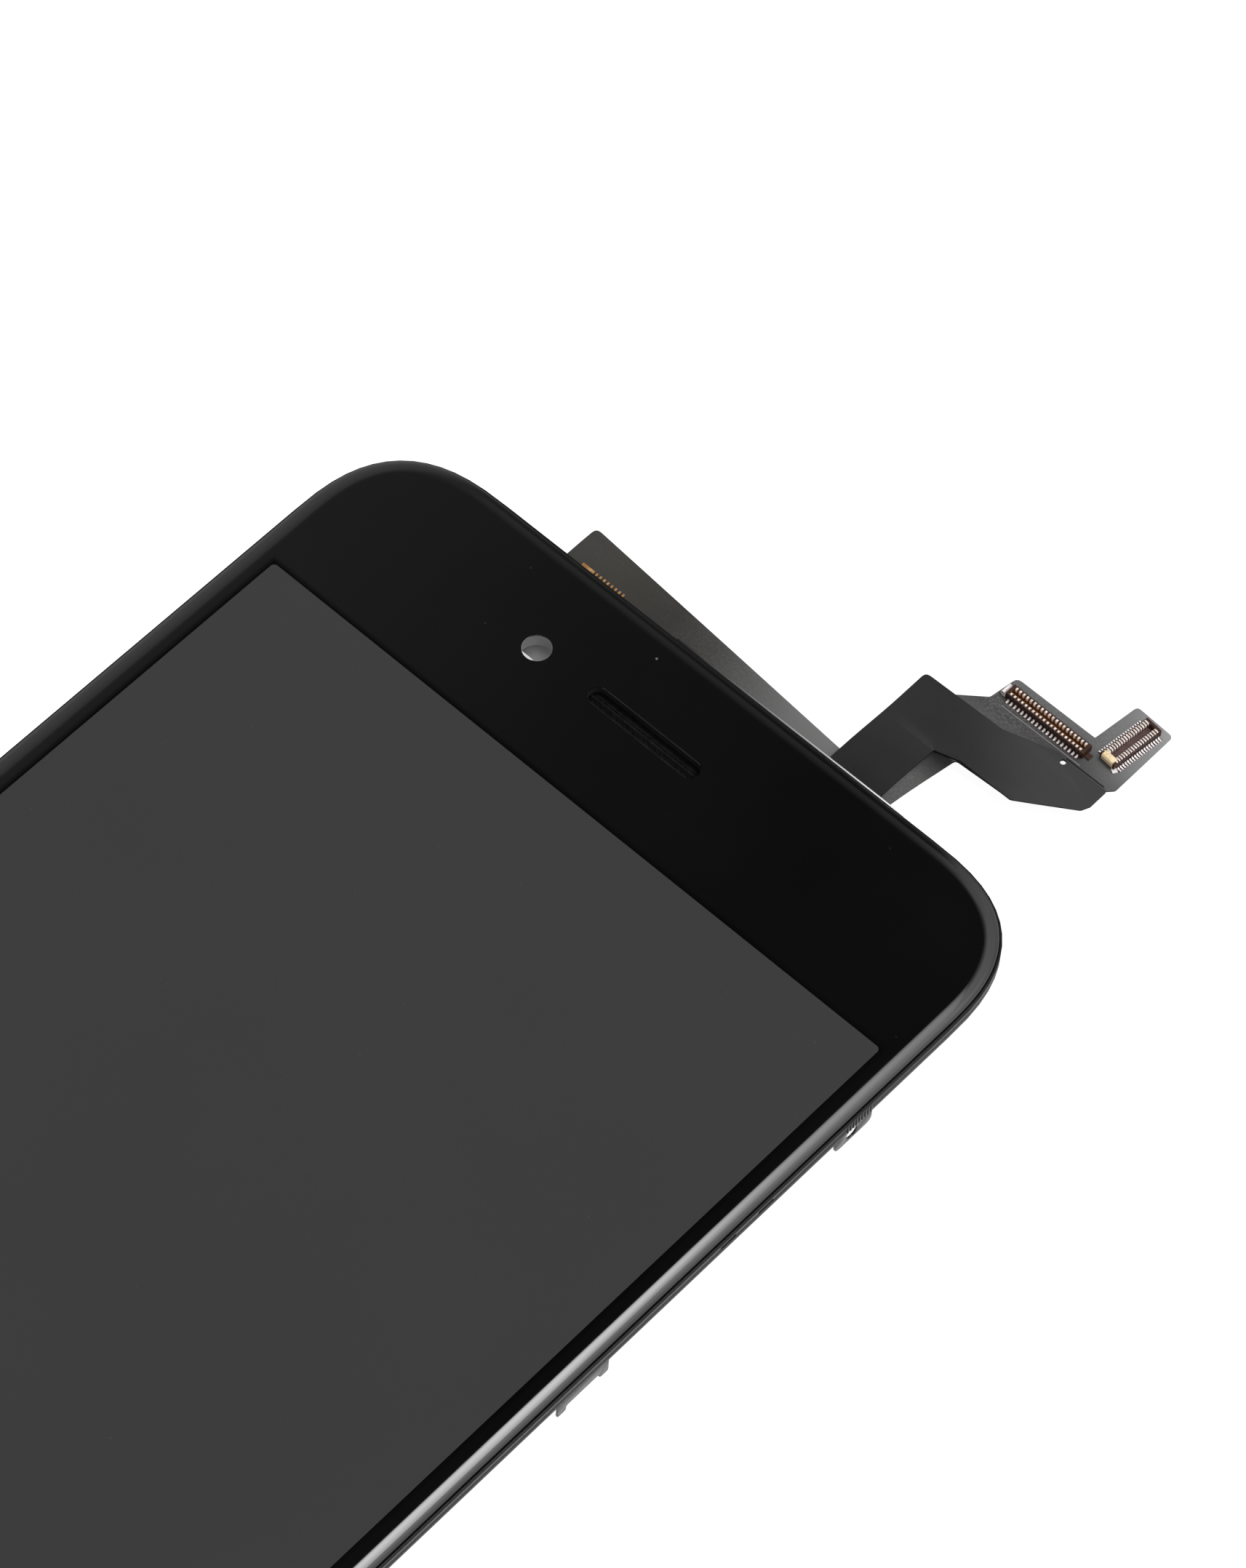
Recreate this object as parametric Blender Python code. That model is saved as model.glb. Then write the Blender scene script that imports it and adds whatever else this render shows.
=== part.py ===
"""A phone's display assembly: cover glass, liquid crystal panel, backlight, bezel frame and flex tail.

Every size below is in millimetres and becomes metres where a point is made. The origin is the
centre of the cover glass's front face. +X is to the right, +Y is towards the earpiece, and +Z is
out of the glass, so the whole assembly lies below z = 0 and rests on the feet of its clips.
"""

import math

import bmesh
import bpy
from mathutils import Matrix, Vector

MM = 0.001

# Picture area and the borders round it, which set the outline of everything else
PICTURE_W = 58.5
PICTURE_L = 104.05
SIDE_BORDER = 2.38
END_BORDER = 15.505
CORNER_REACH = 11.0  # how far a corner's curve runs along each side
CORNER_POWER = 2.74  # 2 is a circle; more gives a squarer corner with a softer start
CORNER_STEPS = 14

# Cover glass
GLASS_T = 0.70
GLASS_CURVE_W = 1.35  # how far in the curved edge starts
GLASS_CURVE_DROP = 0.52
GLASS_CURVE_STEPS = 7
GLASS_FOOT_CHAMFER = 0.08

# Openings in the cover glass and the print under it
SLOT_L = 10.4
SLOT_W = 1.6
SLOT_Y = 7.6  # from the picture's top edge to the slot's centre line
CAMERA_X = -10.4
CAMERA_R = 1.13
PROXIMITY_X = -3.6
PROXIMITY_Y = 12.9
PROXIMITY_R = 0.28
BUTTON_R = 5.1
BUTTON_Y = 8.2  # from the picture's bottom edge to the button's centre
PRINT_BACK = 0.35  # how far the print stays in from the glass's edge
PRINT_CLEAR = 0.12  # how far it stays back from the slot and the button hole
ROUND_STEPS = 40

# Layers, from the glass down. BOND is the glue line left between two of them
BOND = 0.02
PRINT_T = 0.03
ADHESIVE_T = 0.15
POLARIZER_T = 0.12
FILTER_GLASS_T = 0.20
ARRAY_GLASS_T = 0.20
PRISM_FILM_T = 0.08
DIFFUSER_T = 0.06
LIGHT_GUIDE_T = 0.35
REFLECTOR_T = 0.05
TRAY_T = 0.12
PRESSURE_PLATE_T = 0.25
REAR_SHEET_T = 0.06

# How far the layers reach past the picture area
ADHESIVE_MARGIN = 0.90
POLARIZER_MARGIN = 0.70
FILTER_MARGIN = 0.95
MODULE_SIDE = 1.35
MODULE_TOP = 4.00
MODULE_BOTTOM = 1.50
DRIVER_LEDGE = 2.60
LAYER_CORNER_R = 0.5
MODULE_CORNER_R = 0.9
MODULE_CLEAR = 0.15
TRAY_WALL_CLEAR = 0.10
GUIDE_WALL_W = 0.62
DRIVER_L = 21.0
DRIVER_W = 1.3
DRIVER_T = 0.26
DRIVER_X = -3.5
LED_COUNT = 12
LED_L = 2.6
LED_W = 0.62
LED_BAR_W = 0.95
LED_BAR_T = 0.14
LED_T = 0.30
PLATE_BACK = 1.6
PLATE_NOTCH_L = 9.0
PLATE_NOTCH_W = 3.0
REAR_SHEET_BACK = 7.0

# Bezel frame
LIP_W = 0.17
LIP_GAP = 0.06
LIP_ROUND = 0.05
LIP_H = 0.12
FRAME_WALL_W = 0.88
FRAME_DEPTH = 1.24
FRAME_PLATE_T = 0.55
FRAME_FOOT_ROUND = 0.22
FRAME_FOOT_STEPS = 4
PARTING_DOWN = 0.55  # from the lip's top to the fine line that the mould leaves
PARTING_W = 0.06
PARTING_DEEP = 0.025
FLEX_NOTCH_L = 4.6
SIDE_NOTCH_L = 1.5
SIDE_NOTCH_H = 0.34
SIDE_NOTCH_DEEP = 0.22
SIDE_NOTCH_YS = (37.6, 33.8, -14.0, -40.0)
BOSS_R = 1.25
BOSS_HOLE_R = 0.50
BOSS_H = 0.60
TOP_BOSS_XS = (-20.0, 21.0)
TOP_BOSS_Y = 6.6
BUTTON_BOSS_X = 11.5

# Steel clips under the frame
CLIP_T = 0.16
CLIP_INSET = 0.13  # from the frame's outer face to the clip's
CLIP_DEPTH = 1.69  # of the bridge clips and lugs, on whose feet the assembly rests
CLIP_FLANGE_W = 0.72
LOOP_CLIP_DEPTH = 1.46
LOOP_CLIP_L = 3.84
LOOP_CLIP_YS = (46.92, -6.0, -50.0)
LOOP_HOLE_L = 1.16
LOOP_HOLE_H = 1.08
LOOP_HOLE_DOWN = 0.13
LOOP_HOLE_BACK = 0.17  # how far the eye sits towards the clip's lower end
LOOP_ROUND = 0.62
BRIDGE_CLIP_L = 5.10
BRIDGE_CLIP_YS = (19.50, -30.0)
BRIDGE_FOOT_L = 0.90
BRIDGE_BAR_DEPTH = 1.12
BRIDGE_ROUND = 0.25
HOOK_L = 3.2
HOOK_XS = (-18.5, 18.5)
HOOK_DEPTH = 1.15
HOOK_IN = 0.55
LUG_X = 5.9
LUG_W = 3.4
LUG_T = 0.75
LUG_HOLE_R = 0.55
LUG_DEPTH = CLIP_DEPTH

# Small pieces behind the glass's ends
MESH_L = 11.4
MESH_W = 2.6
MESH_T = 0.14
HOLDER_WALL = 0.55
HOLDER_H = 0.95
CAMERA_RING_WALL = 0.62
CAMERA_RING_CLEAR = 0.22
CAMERA_RING_H = 1.15
CAMERA_RING_STEP = 0.30  # how far the bore narrows at the ring's foot
CAMERA_RING_STEP_H = 0.25
CAMERA_FLANGE_W = 0.25
CAMERA_FLANGE_H = 0.30
CAMERA_FILM_T = 0.10
SENSOR_L = 4.6
SENSOR_W = 2.4
SENSOR_H = 0.80
SENSOR_CORNER = 0.3
GASKET_CLEAR = 0.15
GASKET_W = 0.80
GASKET_T = 0.42
SEAT_CLEAR = 0.12

# Flex circuits. Heights along the tail follow tail_height(), and places are from the frame's edge
FLEX_T = 0.12
FLEX_GAP = 0.03
STRIP_LEFT = -15.45
STRIP_IN = 4.4
STRIP_REACH = 3.98
STRIP_FALL = 0.078  # how much the strip's outer edge comes back for each unit to the right
STRIP_ROUND = 0.45
ARM_LEFT = 10.15
ARM_W = 4.82
ARM_OUTER_ELBOW = 11.32
ARM_INNER_ELBOW = 6.65
ARM_ROUND = 0.45
FLEX_ROUND = 0.35
UNDER_ARM_OUT = 0.87  # how far the lower arm's foot shows past the upper arm
UNDER_ARM_LEAN = 0.79
UNDER_ARM_FOOT_Y = 1.0
BODY_LOW = 7.30
BODY_NECK = 2.02  # from the arm's right edge to where the body's lower edge levels out
BODY_SLOPE_L = 4.53  # the sloping stretch of the body's lower edge
BODY_RISE = 2.85
BODY_CORNER_CUT = 0.30
BODY_SIDE_Y = 10.85
COVER_EDGE = 12.65  # where the dark cover film ends on the board
COVER_LEVEL_L = 3.30
COVER_BUMP_L = 1.40
COVER_BUMP = 0.14
COVER_SLOPE_L = 2.30
COVER_STEP = 1.18
UNDERLAP = 0.12  # how far the lower flex stays in under the upper one
TAB_EDGE = 0.20  # from a tab's edge to its connector's end
TAB_LEAN = 0.37
TAB_FOOT_Y = 13.05
TAB_1_PAST = 1.52  # from connector 1's centre line to the tab's outer edge
TAB_2_SIDE_L = 2.31  # from connector 2's centre line to the tab's two edges
TAB_2_SIDE_R = 1.69
TAB_2_LEAN = 0.50
TAB_2_SHOULDER = 0.55
TAIL_DROP = 0.40
TAIL_START = 2.0
TAIL_END = 8.4
TAIL_STEPS = 7
RISE_FOOT = 2.0
RISE_TOP = 5.2
BOND_LAP = 0.80
TAIL_HOLE_IN = 3.89
TAIL_HOLE_Y = 12.39
TAIL_HOLE_R = 0.24
STIFFENER_T = 0.20
STIFFENER_BACK = 0.10
STIFFENER_START = 13.25
STIFFENER_CORNER = 0.1
PAD_ROW_X = -14.0
PAD_ROW_L = 4.15
PAD_ROW_Y = 0.30
PAD_T = 0.05
PAD_W = 0.70
PAD_FINGERS = 8
PAD_BLOCK_L = 1.15
PAD_BUS_W = 0.30
TAPE_W = 0.50
TAPE_T = 0.14
TAPE_BACK = 0.40

# Board connectors: two contact walls with a channel between them
CONN_HALF_W = 0.56
CONN_CHANNEL_HALF_W = 0.26
CONN_H = 0.64
CONN_FLOOR_H = 0.18
CONN_END_L = 0.22
CONN_TAIL = 0.28
CONN_TAIL_T = 0.09
CONN_CONTACT_PROUD = 0.035
CONN_CONTACT_SHARE = 0.5  # contact width as a share of the pitch
CONN_HOLD_L = 0.42
CONN_HOLD_HALF_W = 0.66
CONN_HOLD_PROUD = 0.05
CONN_1_LEFT = 15.19
CONN_1_Y = 14.12
CONN_1_TURN = -1.0
CONN_1_CONTACTS = 20
CONN_1_PITCH = 0.35
CONN_APART = 0.69  # clear space between the two connectors
CONN_2_LOW = 14.05
CONN_2_TURN = 83.8
CONN_2_CONTACTS = 18
CONN_2_PITCH = 0.235

# Places that follow from the sizes above
HALF_W = PICTURE_W / 2 + SIDE_BORDER
HALF_L = PICTURE_L / 2 + END_BORDER
GLASS_IN = LIP_W + LIP_GAP
PICTURE_TOP = PICTURE_L / 2
PRINT_TOP_Z = -GLASS_T - BOND
LEDGE_Z = PRINT_TOP_Z - PRINT_T - BOND
LIP_TOP_Z = LEDGE_Z + LIP_H
FRAME_FOOT_Z = LEDGE_Z - FRAME_DEPTH
PLATE_FOOT_Z = LEDGE_Z - FRAME_PLATE_T
REST_Z = FRAME_FOOT_Z - BOND - CLIP_DEPTH
MODULE_HALF_W = PICTURE_W / 2 + MODULE_SIDE
MODULE_Y0 = -PICTURE_TOP - MODULE_BOTTOM
MODULE_Y1 = PICTURE_TOP + MODULE_TOP
ADHESIVE_TOP_Z = LEDGE_Z
POLARIZER_TOP_Z = ADHESIVE_TOP_Z - ADHESIVE_T - BOND
FILTER_TOP_Z = POLARIZER_TOP_Z - POLARIZER_T - BOND
ARRAY_TOP_Z = FILTER_TOP_Z - FILTER_GLASS_T - BOND
REAR_POLARIZER_TOP_Z = ARRAY_TOP_Z - ARRAY_GLASS_T - BOND
PRISM_TOP_Z = REAR_POLARIZER_TOP_Z - POLARIZER_T - BOND
DIFFUSER_TOP_Z = PRISM_TOP_Z - PRISM_FILM_T - BOND
GUIDE_TOP_Z = DIFFUSER_TOP_Z - DIFFUSER_T - BOND
REFLECTOR_TOP_Z = GUIDE_TOP_Z - LIGHT_GUIDE_T - BOND
TRAY_FLOOR_Z = REFLECTOR_TOP_Z - REFLECTOR_T - BOND
PLATE_TOP_Z = TRAY_FLOOR_Z - TRAY_T - BOND
PLATE_BACK_Z = PLATE_TOP_Z - PRESSURE_PLATE_T
UPPER_FLEX_Z = FRAME_FOOT_Z - 2 * BOND
LOWER_FLEX_Z = UPPER_FLEX_Z - FLEX_T - FLEX_GAP
SLOT_CENTRE_Y = PICTURE_TOP + SLOT_Y
BUTTON_CENTRE_Y = -PICTURE_TOP - BUTTON_Y
CONN_END_PAST = CONN_END_L + BOND + CONN_HOLD_L
CONN_1_HALF_L = CONN_1_CONTACTS * CONN_1_PITCH / 2 + CONN_END_PAST
CONN_2_HALF_L = CONN_2_CONTACTS * CONN_2_PITCH / 2 + CONN_END_PAST
CONN_1_X = CONN_1_LEFT + CONN_1_HALF_L
CONN_2_X = CONN_1_X + CONN_1_HALF_L + CONN_APART + CONN_HOLD_HALF_W
CONN_2_Y = CONN_2_LOW + CONN_2_HALF_L
ARM_RIGHT = ARM_LEFT + ARM_W
UNDER_ARM_FOOT = ARM_RIGHT + UNDER_ARM_OUT
TAB_LEFT = CONN_1_LEFT - TAB_EDGE
TAB_1_REACH = CONN_1_Y + TAB_1_PAST
TAB_2_LEFT = CONN_2_X - TAB_2_SIDE_L
TAB_2_RIGHT = CONN_2_X + TAB_2_SIDE_R
TAB_2_REACH = CONN_2_Y + CONN_2_HALF_L + TAB_EDGE
BODY_RIGHT = TAB_2_RIGHT - TAB_LEAN


def clear_scene():
    for thing in list(bpy.data.objects):
        bpy.data.objects.remove(thing, do_unlink=True)


def make_material(name, colour, roughness, metallic=0.0, transmission=0.0):
    material = bpy.data.materials.get(name) or bpy.data.materials.new(name)
    material.use_nodes = True
    shader = material.node_tree.nodes["Principled BSDF"]
    shader.inputs["Base Color"].default_value = (*colour, 1.0)
    shader.inputs["Roughness"].default_value = roughness
    shader.inputs["Metallic"].default_value = metallic
    shader.inputs["Transmission Weight"].default_value = transmission
    return material


def cover_material():
    return make_material("cover_glass", (0.02, 0.02, 0.022), 0.05)


def clear_material():
    return make_material("clear_layer", (0.75, 0.78, 0.80), 0.10, transmission=0.8)


def panel_material():
    return make_material("panel_layer", (0.05, 0.05, 0.055), 0.15)


def film_material():
    return make_material("light_film", (0.85, 0.86, 0.86), 0.35)


def black_plastic():
    return make_material("black_plastic", (0.03, 0.03, 0.032), 0.45)


def white_plastic():
    return make_material("white_plastic", (0.80, 0.80, 0.78), 0.50)


def steel():
    return make_material("steel", (0.55, 0.55, 0.56), 0.30, metallic=1.0)


def gold():
    return make_material("gold", (0.83, 0.60, 0.32), 0.25, metallic=1.0)


def dark_flex():
    return make_material("dark_flex", (0.022, 0.022, 0.022), 0.45)


def grey_flex():
    return make_material("grey_flex", (0.12, 0.12, 0.125), 0.45)


def rubber():
    return make_material("rubber", (0.02, 0.02, 0.02), 0.75)


def point(x, y, z):
    return Vector((x * MM, y * MM, z * MM))


def glass_outline(inset):
    """The assembly's rounded outline, anticlockwise from the right side, moved in by inset."""
    quarter = []
    for step in range(CORNER_STEPS + 1):
        turn = step / CORNER_STEPS * math.pi / 2
        c, s = abs(math.cos(turn)), abs(math.sin(turn))
        along = Vector((c ** (2 / CORNER_POWER), s ** (2 / CORNER_POWER)))
        normal = Vector((c ** (2 - 2 / CORNER_POWER), s ** (2 - 2 / CORNER_POWER))).normalized()
        centre = Vector((HALF_W - CORNER_REACH, HALF_L - CORNER_REACH))
        quarter.append(centre + along * CORNER_REACH - normal * inset)
    right_top = [(p.x, p.y) for p in quarter]
    left_top = [(-x, y) for x, y in reversed(right_top)]
    left_low = [(-x, -y) for x, y in right_top]
    right_low = [(x, -y) for x, y in reversed(right_top)]
    return right_top + left_top + left_low + right_low


def circle(cx, cy, radius, steps=ROUND_STEPS):
    turns = [2 * math.pi * i / steps for i in range(steps)]
    return [(cx + radius * math.cos(t), cy + radius * math.sin(t)) for t in turns]


def rounded(points, radii, steps=5):
    """The polygon with each corner turned into an arc of its radius, which its sides may limit."""
    made = []
    count = len(points)
    for i, corner in enumerate(points):
        radius = radii[i] if isinstance(radii, (list, tuple)) else radii
        here = Vector(corner)
        back = Vector(points[i - 1]) - here
        on = Vector(points[(i + 1) % count]) - here
        angle = back.angle(on)
        reach = min(radius / math.tan(angle / 2), 0.45 * back.length, 0.45 * on.length)
        if reach < 1e-6:
            made.append(corner)
            continue
        start = here + back.normalized() * reach
        end = here + on.normalized() * reach
        for step in range(steps + 1):
            t = step / steps
            bow = start * (1 - t) ** 2 + here * (2 * t * (1 - t)) + end * t ** 2
            made.append((bow.x, bow.y))
    return made


def rectangle(x0, x1, y0, y1, radius=0.0, steps=4):
    corners = [(x1, y0), (x1, y1), (x0, y1), (x0, y0)]
    return rounded(corners, radius, steps) if radius else corners


def slot(cx, cy, length, width, steps=10):
    """A stadium: two half circles joined by straight sides, along X."""
    half = (length - width) / 2
    made = []
    for side, first in ((1, -math.pi / 2), (-1, math.pi / 2)):
        for step in range(steps + 1):
            turn = first + math.pi * step / steps
            x = cx + side * half + width / 2 * math.cos(turn)
            made.append((x, cy + width / 2 * math.sin(turn)))
    return made


def close_loop(bm, verts):
    edges = []
    for a, b in zip(verts, verts[1:] + verts[:1]):
        edges.append(bm.edges.get((a, b)) or bm.edges.new((a, b)))
    return edges


def ring_solid(rings, holes=()):
    """A closed mesh from outlines stacked upwards as (outline, z), with straight holes through it."""
    bm = bmesh.new()
    low_z, high_z = rings[0][1], rings[-1][1]
    stacks = [rings] + [[(hole, low_z), (hole, high_z)] for hole in holes]
    low_edges, high_edges = [], []
    for stack in stacks:
        loops = [[bm.verts.new(point(x, y, z)) for x, y in outline] for outline, z in stack]
        for lower, upper in zip(loops, loops[1:]):
            for i in range(len(lower)):
                bm.faces.new((lower[i - 1], lower[i], upper[i], upper[i - 1]))
        low_edges += close_loop(bm, loops[0])
        high_edges += close_loop(bm, loops[-1])
    bmesh.ops.triangle_fill(bm, use_beauty=True, edges=low_edges)
    bmesh.ops.triangle_fill(bm, use_beauty=True, edges=high_edges)
    bmesh.ops.recalc_face_normals(bm, faces=bm.faces[:])
    return bm


def prism(outline, low_z, high_z, holes=()):
    return ring_solid([(outline, low_z), (outline, high_z)], holes)


def add_object(name, bm, material, smooth=False):
    mesh = bpy.data.meshes.new(name)
    bm.to_mesh(mesh)
    bm.free()
    if smooth:
        mesh.shade_smooth()
        mesh.set_sharp_from_angle(angle=math.radians(30))
    thing = bpy.data.objects.new(name, mesh)
    mesh.materials.append(material)
    bpy.context.scene.collection.objects.link(thing)
    return thing


def combine(target, bm, operation):
    """Adds the shape in bm to target, or cuts it away, and keeps the result as target's mesh."""
    tool = add_object(target.name + "_tool", bm, target.data.materials[0])
    modifier = target.modifiers.new("combine", "BOOLEAN")
    modifier.solver = "EXACT"
    modifier.operation = operation
    modifier.object = tool
    graph = bpy.context.evaluated_depsgraph_get()
    made = bpy.data.meshes.new_from_object(target.evaluated_get(graph))
    target.modifiers.remove(modifier)
    target.data = made
    bpy.data.objects.remove(tool, do_unlink=True)


def cover_glass():
    """One pane with a softly curved edge, a slot for the earpiece and a hole for the button."""
    rings = [(glass_outline(GLASS_IN + GLASS_FOOT_CHAMFER), -GLASS_T)]
    rings.append((glass_outline(GLASS_IN), -GLASS_T + GLASS_FOOT_CHAMFER))
    for step in range(GLASS_CURVE_STEPS + 1):
        turn = step / GLASS_CURVE_STEPS * math.pi / 2
        inset = GLASS_IN + GLASS_CURVE_W * (1 - math.cos(turn))
        rings.append((glass_outline(inset), -GLASS_CURVE_DROP * (1 - math.sin(turn))))
    holes = [
        slot(0, SLOT_CENTRE_Y, SLOT_L, SLOT_W),
        circle(0, BUTTON_CENTRE_Y, BUTTON_R),
    ]
    add_object("cover_glass", ring_solid(rings, holes), cover_material(), smooth=True)


def ink_border():
    """The black print behind the glass, open over the picture, lens, slot, sensor and button."""
    holes = [
        rectangle(-PICTURE_W / 2, PICTURE_W / 2, -PICTURE_TOP, PICTURE_TOP, LAYER_CORNER_R),
        slot(0, SLOT_CENTRE_Y, SLOT_L + 2 * PRINT_CLEAR, SLOT_W + 2 * PRINT_CLEAR),
        circle(CAMERA_X, SLOT_CENTRE_Y, CAMERA_R, 28),
        circle(PROXIMITY_X, PICTURE_TOP + PROXIMITY_Y, PROXIMITY_R, 12),
        circle(0, BUTTON_CENTRE_Y, BUTTON_R + PRINT_CLEAR),
    ]
    outline = glass_outline(GLASS_IN + PRINT_BACK)
    made = prism(outline, PRINT_TOP_Z - PRINT_T, PRINT_TOP_Z, holes)
    add_object("ink_border", made, black_plastic())


def panel_layer(name, margin, top_z, thickness, material, extra_top=0.0):
    half_w = PICTURE_W / 2 + margin
    reach = PICTURE_TOP + margin
    outline = rectangle(-half_w, half_w, -reach, reach + extra_top, LAYER_CORNER_R)
    add_object(name, prism(outline, top_z - thickness, top_z), material)


def panel_layers():
    """Adhesive, polarizers and the two glasses of the liquid crystal panel."""
    panel_layer("optical_adhesive", ADHESIVE_MARGIN, ADHESIVE_TOP_Z, ADHESIVE_T, clear_material())
    panel_layer("front_polarizer", POLARIZER_MARGIN, POLARIZER_TOP_Z, POLARIZER_T, panel_material())
    panel_layer("colour_filter_glass", FILTER_MARGIN, FILTER_TOP_Z, FILTER_GLASS_T, clear_material())
    panel_layer(
        "array_glass", FILTER_MARGIN, ARRAY_TOP_Z, ARRAY_GLASS_T, clear_material(), DRIVER_LEDGE
    )
    panel_layer(
        "rear_polarizer", POLARIZER_MARGIN / 2, REAR_POLARIZER_TOP_Z, POLARIZER_T, panel_material()
    )


def driver_chip():
    """The chip bonded on the array glass, on the ledge past the colour filter glass."""
    y = PICTURE_TOP + FILTER_MARGIN + DRIVER_LEDGE / 2
    outline = rectangle(
        DRIVER_X - DRIVER_L / 2, DRIVER_X + DRIVER_L / 2, y - DRIVER_W / 2, y + DRIVER_W / 2
    )
    foot = ARRAY_TOP_Z + BOND
    add_object("driver_chip", prism(outline, foot, foot + DRIVER_T), black_plastic())


def module_outline(inset, corner=MODULE_CORNER_R):
    half_w = MODULE_HALF_W - inset
    return rectangle(-half_w, half_w, MODULE_Y0 + inset, MODULE_Y1 - inset, corner)


def guide_outline(inset):
    """The opening of the light frame, which the light guide and its films lie in."""
    half_w = MODULE_HALF_W - TRAY_T - TRAY_WALL_CLEAR - GUIDE_WALL_W - inset
    low = -PICTURE_TOP - FILTER_MARGIN
    return rectangle(-half_w, half_w, low + inset, -low - inset, LAYER_CORNER_R)


def backlight_layers():
    """Prism film, diffuser, light guide and reflector, one over the other in the light frame."""
    for name, top_z, thickness, material in (
        ("prism_film", PRISM_TOP_Z, PRISM_FILM_T, film_material()),
        ("diffuser_film", DIFFUSER_TOP_Z, DIFFUSER_T, film_material()),
        ("light_guide", GUIDE_TOP_Z, LIGHT_GUIDE_T, clear_material()),
        ("reflector_film", REFLECTOR_TOP_Z, REFLECTOR_T, film_material()),
    ):
        made = prism(guide_outline(TRAY_WALL_CLEAR), top_z - thickness, top_z)
        add_object(name, made, material)


def light_frame():
    """The white moulding round the light guide, with a pocket for the lamp bar at its upper end."""
    inner = guide_outline(0)
    foot, top = TRAY_FLOOR_Z + BOND, REAR_POLARIZER_TOP_Z
    outer = module_outline(TRAY_T + TRAY_WALL_CLEAR, MODULE_CORNER_R - TRAY_T)
    thing = add_object("light_frame", prism(outer, foot, top, [inner]), white_plastic())
    half_l = MODULE_HALF_W - TRAY_T - 3 * GUIDE_WALL_W
    edge = PICTURE_TOP + FILTER_MARGIN
    pocket = rectangle(-half_l, half_l, edge - GUIDE_WALL_W, edge + LED_BAR_W + 2 * TRAY_WALL_CLEAR)
    combine(thing, prism(pocket, foot - BOND, GUIDE_TOP_Z + BOND), "DIFFERENCE")


def lamp_bar():
    """A narrow circuit strip with a row of lamps that shine into the light guide's edge."""
    half_l = MODULE_HALF_W - TRAY_T - 3 * GUIDE_WALL_W - TRAY_WALL_CLEAR
    edge = PICTURE_TOP + FILTER_MARGIN + TRAY_WALL_CLEAR / 2
    foot = TRAY_FLOOR_Z + BOND
    strip = rectangle(-half_l, half_l, edge, edge + LED_BAR_W)
    thing = add_object("lamp_bar", prism(strip, foot, foot + LED_BAR_T), white_plastic())
    pitch = 2 * half_l / LED_COUNT
    for i in range(LED_COUNT):
        x = -half_l + (i + 0.5) * pitch
        lamp = rectangle(x - LED_L / 2, x + LED_L / 2, edge + BOND, edge + BOND + LED_W)
        combine(thing, prism(lamp, foot + LED_BAR_T / 2, foot + LED_T), "UNION")


def backlight_tray():
    """A folded steel tray that holds the backlight, lower at the top where the flex leaves."""
    wall_top = REAR_POLARIZER_TOP_Z
    outer = module_outline(0)
    thing = add_object("backlight_tray", prism(outer, TRAY_FLOOR_Z - TRAY_T, wall_top), steel())
    inner = module_outline(TRAY_T, MODULE_CORNER_R - TRAY_T)
    combine(thing, prism(inner, TRAY_FLOOR_Z, wall_top + 1), "DIFFERENCE")


def pressure_plate():
    """The stiff sensing plate on the back, with a notch in each long side."""
    half_w = MODULE_HALF_W - PLATE_BACK
    y0, y1 = MODULE_Y0 + PLATE_BACK, MODULE_Y1 - PLATE_BACK
    notch = PLATE_NOTCH_L / 2
    right = [
        (half_w, y0), (half_w, -notch), (half_w - PLATE_NOTCH_W, -notch + PLATE_NOTCH_W),
        (half_w - PLATE_NOTCH_W, notch - PLATE_NOTCH_W), (half_w, notch), (half_w, y1),
    ]
    left = [(-x, y) for x, y in reversed(right)]
    outline = rounded(right + left, MODULE_CORNER_R, 3)
    made = prism(outline, PLATE_BACK_Z, PLATE_TOP_Z)
    add_object("pressure_plate", made, make_material("plate_metal", (0.30, 0.30, 0.31), 0.4, 1.0))
    top = PLATE_BACK_Z - BOND
    sheet = rectangle(
        -half_w + REAR_SHEET_BACK, half_w - REAR_SHEET_BACK,
        y0 + REAR_SHEET_BACK, y1 - REAR_SHEET_BACK, MODULE_CORNER_R,
    )
    add_object("graphite_sheet", prism(sheet, top - REAR_SHEET_T, top), rubber())


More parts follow.
